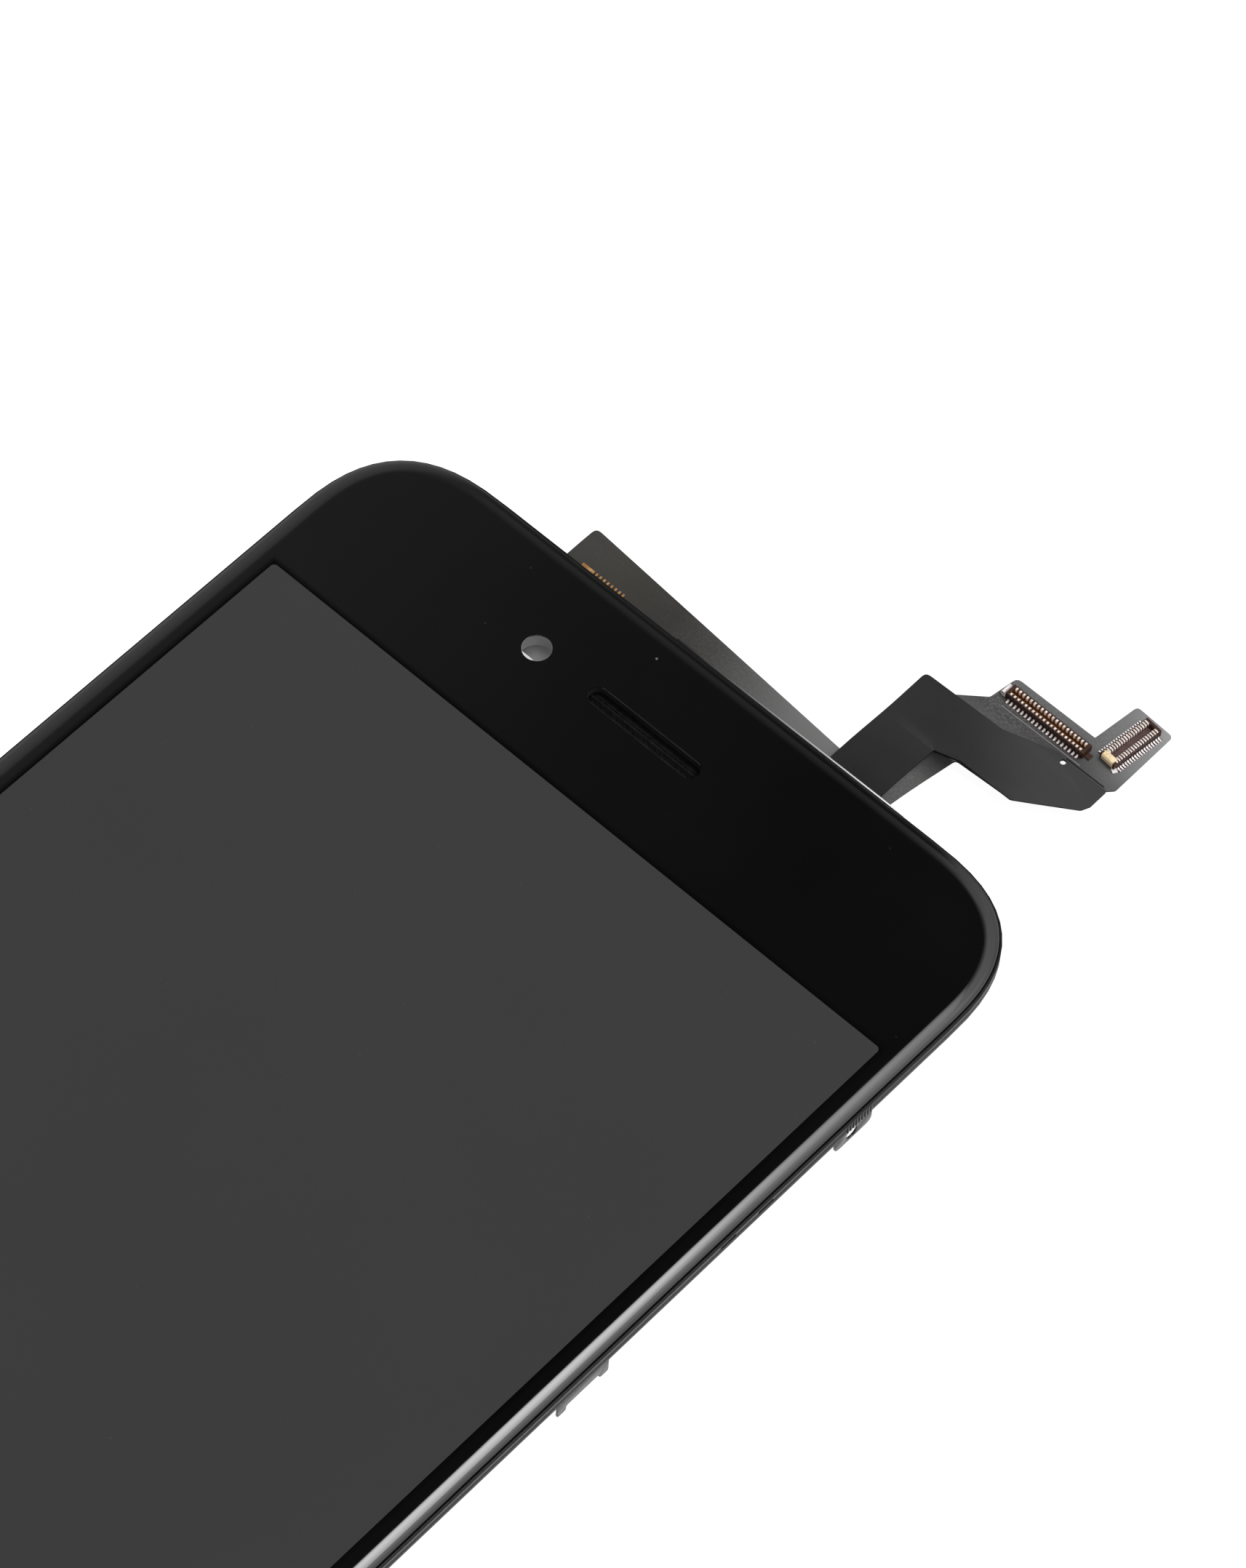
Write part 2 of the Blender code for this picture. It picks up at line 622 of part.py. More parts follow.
def bezel_frame():
    """The black moulding that the glass is glued to: a wall all round, a thin lip that shows
    beside the glass, and a plate at each end with seats for the small pieces."""
    rings = [(glass_outline(inset), z) for inset, z in wall_profile()]
    thing = add_object("bezel_frame", ring_solid(rings), black_plastic(), smooth=True)
    seat = prism(glass_outline(LIP_W), LEDGE_Z, LIP_TOP_Z + 1)
    combine(thing, seat, "DIFFERENCE")
    clear = MODULE_CLEAR
    x1 = MODULE_HALF_W + clear
    module = rectangle(-x1, x1, MODULE_Y0 - clear, MODULE_Y1 + clear, MODULE_CORNER_R)
    combine(thing, prism(module, FRAME_FOOT_Z - 1, LEDGE_Z + 1), "DIFFERENCE")
    for y0, y1 in ((MODULE_Y1 + clear, HALF_L), (-HALF_L, MODULE_Y0 - clear)):
        under = clipped(glass_outline(FRAME_WALL_W), y0 + FRAME_WALL_W, y1 - FRAME_WALL_W)
        combine(thing, prism(under, FRAME_FOOT_Z - 1, PLATE_FOOT_Z), "DIFFERENCE")
    for outline in frame_openings():
        combine(thing, prism(outline, FRAME_FOOT_Z - 1, LEDGE_Z + 1), "DIFFERENCE")
    for x, y in boss_places():
        boss = prism(circle(x, y, BOSS_R, 20), PLATE_FOOT_Z - BOSS_H, LEDGE_Z - FRAME_PLATE_T / 2)
        combine(thing, boss, "UNION")
        hole = prism(circle(x, y, BOSS_HOLE_R, 12), PLATE_FOOT_Z - BOSS_H - 1, PLATE_FOOT_Z)
        combine(thing, hole, "DIFFERENCE")
    notch_top = LEDGE_Z - SIDE_NOTCH_H / 2
    for side in (-1, 1):
        for y in SIDE_NOTCH_YS:
            x = side * HALF_W
            cut = rectangle(
                x - SIDE_NOTCH_DEEP, x + SIDE_NOTCH_DEEP, y - SIDE_NOTCH_L / 2, y + SIDE_NOTCH_L / 2
            )
            combine(thing, prism(cut, notch_top - SIDE_NOTCH_H, notch_top), "DIFFERENCE")


def wall_profile():
    """The outer wall's section from the foot up, as (inset, height): a rounded foot, a straight
    wall with the mould's parting line, and a softened lip."""
    made = []
    for step in range(FRAME_FOOT_STEPS + 1):
        turn = step / FRAME_FOOT_STEPS * math.pi / 2
        rise = FRAME_FOOT_ROUND * (1 - math.cos(turn))
        made.append((FRAME_FOOT_ROUND * (1 - math.sin(turn)), FRAME_FOOT_Z + rise))
    line = LIP_TOP_Z - PARTING_DOWN
    made += [(0, line - PARTING_W), (PARTING_DEEP, line - PARTING_W / 2), (0, line)]
    return made + [(0, LIP_TOP_Z - LIP_ROUND), (LIP_ROUND, LIP_TOP_Z)]


def clipped(outline, y0, y1):
    """The part of a convex outline between two heights, with its cut corners left sharp."""
    made = []
    for (ax, ay), (bx, by) in zip(outline, outline[1:] + outline[:1]):
        if y0 <= ay <= y1:
            made.append((ax, ay))
        crossings = []
        for level in (y0, y1):
            if (ay - level) * (by - level) < 0:
                t = (level - ay) / (by - ay)
                crossings.append((t, (ax + (bx - ax) * t, level)))
        made += [place for t, place in sorted(crossings)]
    return made


def frame_openings():
    """Outlines of the seats cut through the frame's end plates."""
    ring_r = CAMERA_R + CAMERA_RING_CLEAR + CAMERA_RING_WALL + SEAT_CLEAR
    notch_y = MODULE_Y1 + MODULE_CLEAR
    return [
        circle(CAMERA_X, SLOT_CENTRE_Y, ring_r, 28),
        slot(0, SLOT_CENTRE_Y, holder_length() + 2 * SEAT_CLEAR, holder_width() + 2 * SEAT_CLEAR),
        rectangle(*sensor_box(SEAT_CLEAR)),
        circle(0, BUTTON_CENTRE_Y, BUTTON_R + GASKET_CLEAR + GASKET_W + SEAT_CLEAR),
        rectangle(
            ARM_LEFT - MODULE_CORNER_R / 2, ARM_LEFT + ARM_W + MODULE_CORNER_R / 2,
            notch_y - MODULE_CORNER_R, notch_y + FLEX_NOTCH_L,
        ),
    ]


def boss_places():
    top = [(x, PICTURE_TOP + TOP_BOSS_Y) for x in TOP_BOSS_XS]
    return top + [(-BUTTON_BOSS_X, BUTTON_CENTRE_Y), (BUTTON_BOSS_X, BUTTON_CENTRE_Y)]


def holder_length():
    return MESH_L + 2 * SEAT_CLEAR


def holder_width():
    return MESH_W + 2 * SEAT_CLEAR


def sensor_box(extra=0.0):
    y = PICTURE_TOP + PROXIMITY_Y - SENSOR_W / 4
    half_l, half_w = SENSOR_L / 2 + extra, SENSOR_W / 2 + extra
    return PROXIMITY_X - half_l, PROXIMITY_X + half_l, y - half_w, y + half_w


def earpiece_pieces():
    """The dust mesh behind the slot, and the moulded holder that carries it."""
    mesh_top = LEDGE_Z - BOND
    mesh = slot(0, SLOT_CENTRE_Y, MESH_L, MESH_W)
    dark = make_material("mesh_metal", (0.05, 0.05, 0.05), 0.5, 1.0)
    add_object("earpiece_mesh", prism(mesh, mesh_top - MESH_T, mesh_top), dark)
    top = mesh_top - MESH_T - BOND
    outer = slot(0, SLOT_CENTRE_Y, holder_length(), holder_width())
    inner = slot(
        0, SLOT_CENTRE_Y, holder_length() - 2 * HOLDER_WALL, holder_width() - 2 * HOLDER_WALL
    )
    add_object("earpiece_holder", prism(outer, top - HOLDER_H, top, [inner]), black_plastic())


def lathe(centre, section, steps=32):
    """A closed ring turned about an upright axis from a section of (radius, height) points."""
    bm = bmesh.new()
    loops = []
    for radius, z in section:
        loops.append([bm.verts.new(point(x, y, z)) for x, y in circle(*centre, radius, steps)])
    for inner, outer in zip(loops, loops[1:] + loops[:1]):
        for i in range(steps):
            bm.faces.new((inner[i - 1], inner[i], outer[i], outer[i - 1]))
    bmesh.ops.recalc_face_normals(bm, faces=bm.faces[:])
    return bm


def camera_pieces():
    """The ring that centres the front camera under its window, and the film that keeps dust out."""
    bore = CAMERA_R + CAMERA_RING_CLEAR
    wall = bore + CAMERA_RING_WALL
    top = LEDGE_Z
    foot = top - CAMERA_RING_H
    step_z = foot + CAMERA_RING_STEP_H
    narrow = bore - CAMERA_RING_STEP
    section = [
        (bore, top), (bore, step_z), (narrow, step_z), (narrow, foot), (wall - CAMERA_FLANGE_W, foot),
        (wall - CAMERA_FLANGE_W, top - CAMERA_FLANGE_H), (wall, top - CAMERA_FLANGE_H), (wall, top),
    ]
    centre = (CAMERA_X, SLOT_CENTRE_Y)
    add_object("camera_ring", lathe(centre, section), steel(), smooth=True)
    film_top = foot - BOND
    film = prism(circle(*centre, wall - CAMERA_FLANGE_W, 32), film_top - CAMERA_FILM_T, film_top)
    add_object("camera_film", film, make_material("film", (0.2, 0.2, 0.2), 0.4))


def sensor_holder():
    """The small block behind the proximity window, with the channel that its light goes through."""
    channel = circle(PROXIMITY_X, PICTURE_TOP + PROXIMITY_Y, PROXIMITY_R + SEAT_CLEAR, 16)
    outline = rectangle(*sensor_box(), SENSOR_CORNER)
    made = prism(outline, LEDGE_Z - SENSOR_H, LEDGE_Z, [channel])
    add_object("sensor_holder", made, black_plastic())


def button_gasket():
    inner_r = BUTTON_R + GASKET_CLEAR
    outer = circle(0, BUTTON_CENTRE_Y, inner_r + GASKET_W)
    inner = circle(0, BUTTON_CENTRE_Y, inner_r)
    made = prism(outer, LEDGE_Z - GASKET_T, LEDGE_Z, [inner])
    add_object("button_gasket", made, rubber(), smooth=True)


def upright_plate(outline, x0, x1, holes=()):
    """A plate whose outline lies in the YZ plane, between x0 and x1."""
    low, high = min(x0, x1), max(x0, x1)
    bm = prism(outline, low, high, holes)
    turn = Matrix(((0, 0, 1, 0), (1, 0, 0, 0), (0, 1, 0, 0), (0, 0, 0, 1)))
    bmesh.ops.transform(bm, matrix=turn, verts=bm.verts[:])
    return bm


def add_flange(thing, side, y0, y1):
    """The leg of a clip that lies flat under the frame's wall and is staked to it."""
    top = FRAME_FOOT_Z - BOND
    outer = side * (HALF_W - CLIP_INSET)
    inner = side * (HALF_W - CLIP_INSET - CLIP_FLANGE_W)
    low, high = min(outer, inner), max(outer, inner)
    flange = prism(rectangle(low, high, y0, y1), top - CLIP_T, top)
    combine(thing, flange, "UNION")


def side_name(side):
    return "right" if side > 0 else "left"


def loop_clip(side, index, y):
    """A rounded ear with an oblong eye, which a catch in the housing snaps into."""
    top = FRAME_FOOT_Z - BOND
    foot = top - LOOP_CLIP_DEPTH
    half = LOOP_CLIP_L / 2
    corners = [(y - half, top), (y - half, foot), (y + half, foot), (y + half, top)]
    outline = rounded(corners, (0, LOOP_ROUND, LOOP_ROUND, 0))
    eye_z = top - LOOP_HOLE_DOWN - LOOP_HOLE_H / 2
    eye = slot(y - LOOP_HOLE_BACK, eye_z, LOOP_HOLE_L, LOOP_HOLE_H, 6)
    x1 = side * (HALF_W - CLIP_INSET)
    made = upright_plate(outline, x1 - side * CLIP_T, x1, [eye])
    thing = add_object(f"loop_clip_{side_name(side)}_{index}", made, steel())
    add_flange(thing, side, y - half, y + half)


def bridge_clip(side, index, y):
    """A longer clip with a foot at each end and a low bar between them."""
    top, foot = FRAME_FOOT_Z - BOND, REST_Z
    half = BRIDGE_CLIP_L / 2
    inner = half - BRIDGE_FOOT_L
    bar = top - BRIDGE_BAR_DEPTH
    corners = [
        (y - half, top), (y - half, foot), (y - inner, foot), (y - inner, bar),
        (y + inner, bar), (y + inner, foot), (y + half, foot), (y + half, top),
    ]
    r = BRIDGE_ROUND
    outline = rounded(corners, (0, r, r, r, r, r, r, 0), 4)
    x1 = side * (HALF_W - CLIP_INSET)
    made = upright_plate(outline, x1 - side * CLIP_T, x1)
    thing = add_object(f"bridge_clip_{side_name(side)}_{index}", made, steel())
    add_flange(thing, side, y - half, y + half)


def top_hook(index, x):
    """A folded steel hook that slips under the housing's top edge."""
    top = FRAME_FOOT_Z - BOND
    y1 = HALF_L - HOOK_IN
    y0 = y1 - CLIP_FLANGE_W
    half = HOOK_L / 2
    flange = prism(rectangle(x - half, x + half, y0, y1), top - CLIP_T, top)
    thing = add_object(f"top_hook_{index}", flange, steel())
    leg = rectangle(x - half, x + half, y1 - CLIP_T, y1)
    combine(thing, prism(leg, top - HOOK_DEPTH, top - CLIP_T / 2), "UNION")
    toe = rectangle(x - half, x + half, y1 - CLIP_T / 2, y1 + HOOK_IN / 2)
    combine(thing, prism(toe, top - HOOK_DEPTH, top - HOOK_DEPTH + CLIP_T), "UNION")


def screw_lug(side):
    """A threaded lug by the lower edge, which one of the two bottom screws goes into."""
    top = FRAME_FOOT_Z - BOND
    x = side * LUG_X
    y0 = -HALF_L + HOOK_IN
    half = LUG_W / 2
    corners = [(x - half, top), (x - half, top - LUG_DEPTH), (x + half, top - LUG_DEPTH), (x + half, top)]
    outline = rounded(corners, (0, LUG_HOLE_R, LUG_HOLE_R, 0))
    hole = circle(x, top - LUG_DEPTH / 2, LUG_HOLE_R, 16)
    bm = prism(outline, y0, y0 + LUG_T, [hole])
    turn = Matrix(((1, 0, 0, 0), (0, 0, 1, 0), (0, 1, 0, 0), (0, 0, 0, 1)))
    bmesh.ops.transform(bm, matrix=turn, verts=bm.verts[:])
    bmesh.ops.recalc_face_normals(bm, faces=bm.faces[:])
    add_object(f"screw_lug_{side_name(side)}", bm, steel())


def clips():
    for side in (-1, 1):
        for index, y in enumerate(LOOP_CLIP_YS, 1):
            loop_clip(side, index, y)
        for index, y in enumerate(BRIDGE_CLIP_YS, 1):
            bridge_clip(side, index, y)
        screw_lug(side)
    for index, x in enumerate(HOOK_XS, 1):
        top_hook(index, x)


def ease(t):
    t = min(1.0, max(0.0, t))
    return t * t * (3 - 2 * t)


def tail_height(y):
    """How far the flex lies above its height at the frame: up to the panel's ledge at its inner
    end, and down a little past the glass's edge, where it bends under its own spring."""
    past = y - HALF_L
    fall = -TAIL_DROP * ease((past - TAIL_START) / (TAIL_END - TAIL_START))
    foot = MODULE_Y1 + RISE_TOP
    rise = ARRAY_TOP_Z + BOND + FLEX_T - UPPER_FLEX_Z
    return fall + rise * ease((foot - y) / (RISE_TOP - RISE_FOOT))


def flex_sheet(name, outline, top_z, material, holes=()):
    """A thin sheet that keeps its outline in plan and follows tail_height() along its length."""
    bm = prism(outline, top_z - FLEX_T, top_z, holes)
    spans = (
        (HALF_L + TAIL_START, HALF_L + TAIL_END),
        (MODULE_Y1 + RISE_FOOT, MODULE_Y1 + RISE_TOP),
    )
    for low, high in spans:
        for step in range(TAIL_STEPS + 1):
            cut = point(0, low + (high - low) * step / TAIL_STEPS, 0)
            parts = bm.verts[:] + bm.edges[:] + bm.faces[:]
            bmesh.ops.bisect_plane(bm, geom=parts, dist=1e-7, plane_co=cut, plane_no=(0, 1, 0))
    for vert in bm.verts:
        vert.co.z += tail_height(vert.co.y / MM) * MM
    return add_object(name, bm, material)


def from_top(points):
    """Points given from the top edge of the frame, in the part's own coordinates."""
    return [(x, y + HALF_L) for x, y in points]


def tail_hole():
    return circle(BODY_RIGHT - TAIL_HOLE_IN, TAIL_HOLE_Y + HALF_L, TAIL_HOLE_R, 12)


def body_edge(inset):
    """The lower right edge of the tail's body, which both flexes share: level, sloping, upright."""
    return [
        (ARM_RIGHT + BODY_NECK, BODY_LOW + inset),
        (BODY_RIGHT - BODY_SLOPE_L, BODY_LOW + inset),
        (BODY_RIGHT - BODY_CORNER_CUT - inset, BODY_LOW + BODY_RISE + inset),
        (BODY_RIGHT - inset, BODY_SIDE_Y + inset),
        (BODY_RIGHT - inset, COVER_EDGE),
    ]


def display_flex():
    """The dark upper flex: bonded to the array glass, out past the glass's edge, then to the side.
    The outer edge of its cover film steps back from the connectors."""
    inner_end = PICTURE_TOP + FILTER_MARGIN + DRIVER_LEDGE - BOND_LAP - HALF_L
    corners = [(ARM_LEFT, inner_end), (ARM_RIGHT, inner_end), (ARM_RIGHT, ARM_INNER_ELBOW)]
    corners += body_edge(0)
    x, y = BODY_RIGHT - COVER_LEVEL_L, COVER_EDGE
    corners += [(x, y), (x - COVER_BUMP_L, y + COVER_BUMP)]
    x -= COVER_BUMP_L + COVER_SLOPE_L
    corners += [(x, y - COVER_STEP / 2), (ARM_LEFT + ARM_W + COVER_SLOPE_L, y - COVER_STEP)]
    corners.append((ARM_LEFT, ARM_OUTER_ELBOW))
    r = ARM_ROUND
    radii = (0, 0, r / 3, r, r, r, r / 2, r / 3, r, r, r, r, r)
    outline = rounded(from_top(corners), radii, 3)
    flex_sheet("display_flex", outline, UPPER_FLEX_Z, dark_flex(), [tail_hole()])


def touch_flex():
    """The grey lower flex: a strip along the top edge, an arm under the dark one and two tabs."""
    u = UNDERLAP
    left = ARM_LEFT + u
    elbow = ARM_OUTER_ELBOW - u
    strip_at_arm = STRIP_REACH - STRIP_FALL * (left - STRIP_LEFT)
    corners = [
        (STRIP_LEFT, -STRIP_IN), (UNDER_ARM_FOOT, -STRIP_IN), (UNDER_ARM_FOOT, UNDER_ARM_FOOT_Y),
        (UNDER_ARM_FOOT + UNDER_ARM_LEAN, BODY_LOW - u),
    ]
    corners += body_edge(u)[1:]
    corners += [
        (TAB_2_RIGHT, COVER_EDGE + TAB_2_SHOULDER), (TAB_2_RIGHT, TAB_2_REACH - TAB_EDGE),
        (TAB_2_LEFT + TAB_2_LEAN, TAB_2_REACH), (TAB_2_LEFT, TAB_1_REACH),
        (TAB_LEFT + TAB_LEAN / 2, TAB_1_REACH), (TAB_LEFT - TAB_LEAN / 2, TAB_FOOT_Y),
        (ARM_LEFT + ARM_W / 2, elbow), (left, elbow), (left, strip_at_arm), (STRIP_LEFT, STRIP_REACH),
    ]
    r = FLEX_ROUND
    radii = (0, 0, 0, r, r, r, r, r / 3, r, r, r, r / 4, r * 1.4, r, r, r, r / 3, STRIP_ROUND)
    outline = rounded(from_top(corners), radii, 3)
    flex_sheet("touch_flex", outline, LOWER_FLEX_Z, grey_flex(), [tail_hole()])


def flex_tape():
    """The strip of double-sided tape that holds the lower flex to the frame's top wall."""
    y1 = HALF_L - FRAME_FOOT_ROUND
    outline = rectangle(STRIP_LEFT + TAPE_BACK, ARM_LEFT - TAPE_BACK, y1 - TAPE_W, y1)
    foot = LOWER_FLEX_Z + BOND
    tape = make_material("tape", (0.05, 0.05, 0.05), 0.6)
    add_object("flex_tape", prism(outline, foot, foot + TAPE_T), tape)


def tab_stiffener():
    """The thin plate glued under the two tabs, so that the connectors can be pressed home."""
    b = STIFFENER_BACK
    corners = [
        (TAB_LEFT + b, STIFFENER_START), (BODY_RIGHT - b, STIFFENER_START),
        (TAB_2_RIGHT - b, TAB_2_REACH - TAB_EDGE - b), (TAB_2_LEFT + TAB_2_LEAN + b, TAB_2_REACH - b),
        (TAB_2_LEFT + b, TAB_1_REACH - b), (TAB_LEFT + TAB_LEAN / 2 + b, TAB_1_REACH - b),
    ]
    c, r = STIFFENER_CORNER, FLEX_ROUND
    outline = rounded(from_top(corners), (c, c, r, r, c, r), 3)
    top = LOWER_FLEX_Z - TAIL_DROP - FLEX_T - BOND
    add_object("tab_stiffener", prism(outline, top - STIFFENER_T, top), steel())


def contact_row():
    """The bare gold pads on the strip: a wide pad, then a row of fingers on one common track."""
    y0 = PAD_ROW_Y + HALF_L
    y1 = y0 + PAD_W
    x0 = PAD_ROW_X
    outline = [(x0, y0), (x0 + PAD_ROW_L, y0), (x0 + PAD_ROW_L, y0 + PAD_BUS_W)]
    first = x0 + PAD_BLOCK_L
    pitch = (PAD_ROW_L - PAD_BLOCK_L) / PAD_FINGERS
    for i in reversed(range(PAD_FINGERS)):
        right, left = first + (i + 1) * pitch - pitch * 0.1, first + i * pitch + pitch * 0.5
        outline += [(right, y0 + PAD_BUS_W), (right, y1), (left, y1), (left, y0 + PAD_BUS_W)]
    outline += [(first, y0 + PAD_BUS_W), (first, y1), (x0, y1)]
    foot = LOWER_FLEX_Z + BOND
    add_object("contact_row", prism(outline, foot, foot + PAD_T), gold())


def connector_section(kind):
    """The connector's section, from its left foot over both walls to its right foot."""
    w, g, h = CONN_HALF_W, CONN_CHANNEL_HALF_W, CONN_H
    out = w + (CONN_CONTACT_PROUD if kind == "contact" else 0)
    tail = w + (CONN_TAIL if kind == "contact" else 0)
    step = CONN_TAIL_T if kind == "contact" else 0
    crown = h + (CONN_CONTACT_PROUD if kind == "contact" else 0)
    floor = h if kind == "end" else CONN_FLOOR_H
    left = [(-tail, 0), (-tail, step), (-out, step), (-out, crown), (-g, crown), (-g, floor)]
    return left + [(-u, z) for u, z in reversed(left)]


def connector_stations(contacts, pitch):
    """Where the section changes along the connector, as (place, kind of the stretch after it)."""
    width = pitch * CONN_CONTACT_SHARE
    half = contacts * pitch / 2
    stations = [(-half - CONN_END_L, "end"), (-half, "bare")]
    for i in range(contacts):
        middle = -half + (i + 0.5) * pitch
        stations += [(middle - width / 2, "contact"), (middle + width / 2, "bare")]
    return stations + [(half, "end"), (half + CONN_END_L, None)]


def connector_place(at, turn, foot):
    place = Matrix.Translation(point(at[0], at[1] + HALF_L, foot))
    return place @ Matrix.Rotation(math.radians(turn), 4, "Z")


def connector(number, at, turn, contacts, pitch):
    """A board connector: a moulded body with its contacts wrapped over the two walls."""
    foot = LOWER_FLEX_Z - TAIL_DROP + BOND
    bm = bmesh.new()
    stations = connector_stations(contacts, pitch)
    rings = []
    for (start, kind), (end, _) in zip(stations, stations[1:]):
        for place in (start, end):
            section = connector_section(kind)
            rings.append([bm.verts.new(point(place, u, z)) for u, z in section])
    for lower, upper in zip(rings, rings[1:]):
        for i in range(len(lower)):
            bm.faces.new((lower[i - 1], lower[i], upper[i], upper[i - 1]))
    bm.faces.new(rings[0])
    bm.faces.new(rings[-1])
    bmesh.ops.remove_doubles(bm, verts=bm.verts[:], dist=1e-7)
    bmesh.ops.dissolve_degenerate(bm, edges=bm.edges[:], dist=1e-8)
    bmesh.ops.recalc_face_normals(bm, faces=bm.faces[:])
    bmesh.ops.transform(bm, matrix=connector_place(at, turn, foot), verts=bm.verts[:])
    plastic = make_material("connector_plastic", (0.16, 0.08, 0.05), 0.45)
    add_object(f"connector_{number}", bm, plastic)
    half = contacts * pitch / 2 + CONN_END_L + BOND
    for end, x0, x1 in (("a", -half - CONN_HOLD_L, -half), ("b", half, half + CONN_HOLD_L)):
        w = CONN_HOLD_HALF_W
        block = prism(rectangle(x0, x1, -w, w, CONN_HOLD_PROUD), 0, CONN_H + CONN_HOLD_PROUD)
        bmesh.ops.transform(block, matrix=connector_place(at, turn, foot), verts=block.verts[:])
        add_object(f"connector_{number}_hold_down_{end}", block, gold())


def build():
    clear_scene()
    cover_glass()
    ink_border()
    panel_layers()
    driver_chip()
    backlight_layers()
    light_frame()
    lamp_bar()
    backlight_tray()
    pressure_plate()
    bezel_frame()
    earpiece_pieces()
    camera_pieces()
    sensor_holder()
    button_gasket()
    clips()
    display_flex()
    touch_flex()
    flex_tape()
    tab_stiffener()
    contact_row()
    connector(1, (CONN_1_X, CONN_1_Y), CONN_1_TURN, CONN_1_CONTACTS, CONN_1_PITCH)
    connector(2, (CONN_2_X, CONN_2_Y), CONN_2_TURN, CONN_2_CONTACTS, CONN_2_PITCH)


build()
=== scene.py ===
# %% [markdown] # A phone's display assembly, dressed for its portrait  The real part is a
# sandwich: a black-bordered pane of glass, the switched-off liquid crystal panel behind it, a
# backlight in a steel tray, a thin black frame with steel clips, and a tail of flexible circuits
# that ends in two board connectors. This script adds the finishes, the fine shapes that are too
# small for the solids, the light and the camera.

# %% Load the solids
import math

import bmesh
import bpy
from mathutils import Matrix, Vector


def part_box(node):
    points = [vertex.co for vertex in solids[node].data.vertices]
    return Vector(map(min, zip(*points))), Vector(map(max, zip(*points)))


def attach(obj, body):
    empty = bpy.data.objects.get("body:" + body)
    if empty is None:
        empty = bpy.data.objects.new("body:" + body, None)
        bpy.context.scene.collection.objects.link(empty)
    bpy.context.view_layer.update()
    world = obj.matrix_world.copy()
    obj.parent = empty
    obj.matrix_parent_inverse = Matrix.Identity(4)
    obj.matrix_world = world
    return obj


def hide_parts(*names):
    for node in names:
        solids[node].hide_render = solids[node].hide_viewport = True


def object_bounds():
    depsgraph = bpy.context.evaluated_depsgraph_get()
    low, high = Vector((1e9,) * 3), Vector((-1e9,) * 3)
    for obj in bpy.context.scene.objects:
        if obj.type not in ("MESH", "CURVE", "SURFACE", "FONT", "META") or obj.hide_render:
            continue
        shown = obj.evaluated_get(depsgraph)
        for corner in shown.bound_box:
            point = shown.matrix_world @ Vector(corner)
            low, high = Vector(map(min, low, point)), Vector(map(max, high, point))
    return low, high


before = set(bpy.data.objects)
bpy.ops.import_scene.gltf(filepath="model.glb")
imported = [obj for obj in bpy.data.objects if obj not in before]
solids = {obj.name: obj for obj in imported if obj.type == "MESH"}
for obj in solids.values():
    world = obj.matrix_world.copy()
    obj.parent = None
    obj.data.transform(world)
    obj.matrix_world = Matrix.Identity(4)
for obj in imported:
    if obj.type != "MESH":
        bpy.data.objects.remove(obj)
cad_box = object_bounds()
MM = 0.001
print("solids:", len(solids))

# %% [markdown]
# ## The camera
#
# The photograph looks down on the upper right corner of the part, from its lower right. Its place,
# turn and lens were fitted to the corners of the picture area, the camera window and the slot.
# Working from a camera first means that every later choice can be judged in the right view.

# %% Camera
CAMERA_AT = Vector((159.651, -136.481, 387.857)) * MM
CAMERA_RIGHT = Vector((0.73468, 0.67745, 0.03633))
CAMERA_UP = Vector((-0.58560, 0.60621, 0.53812))
FILM_HEIGHT = 36.0
LENS = 149.4
NEAREST_SEEN = 10 * MM

scene = bpy.context.scene
camera_data = bpy.data.cameras.new("photo_camera")
camera_data.sensor_fit = "VERTICAL"
camera_data.sensor_height = FILM_HEIGHT
camera_data.lens = LENS
camera_data.clip_start = NEAREST_SEEN
camera = bpy.data.objects.new("photo_camera", camera_data)
scene.collection.objects.link(camera)
back = CAMERA_RIGHT.cross(CAMERA_UP).normalized()
turn = Matrix((CAMERA_RIGHT, CAMERA_UP, back)).transposed().to_4x4()
camera.matrix_world = Matrix.Translation(CAMERA_AT) @ turn
scene.camera = camera
print("camera stands", round(CAMERA_AT.length, 3), "m from the part's centre")

# %% [markdown]
# ## One helper for all node trees
#
# Light, floor, finishes and repeated shapes are all made of nodes. One small class holds a tree's
# nodes and links and makes the few steps that every tree needs: a sum, a curve, a vector's parts.

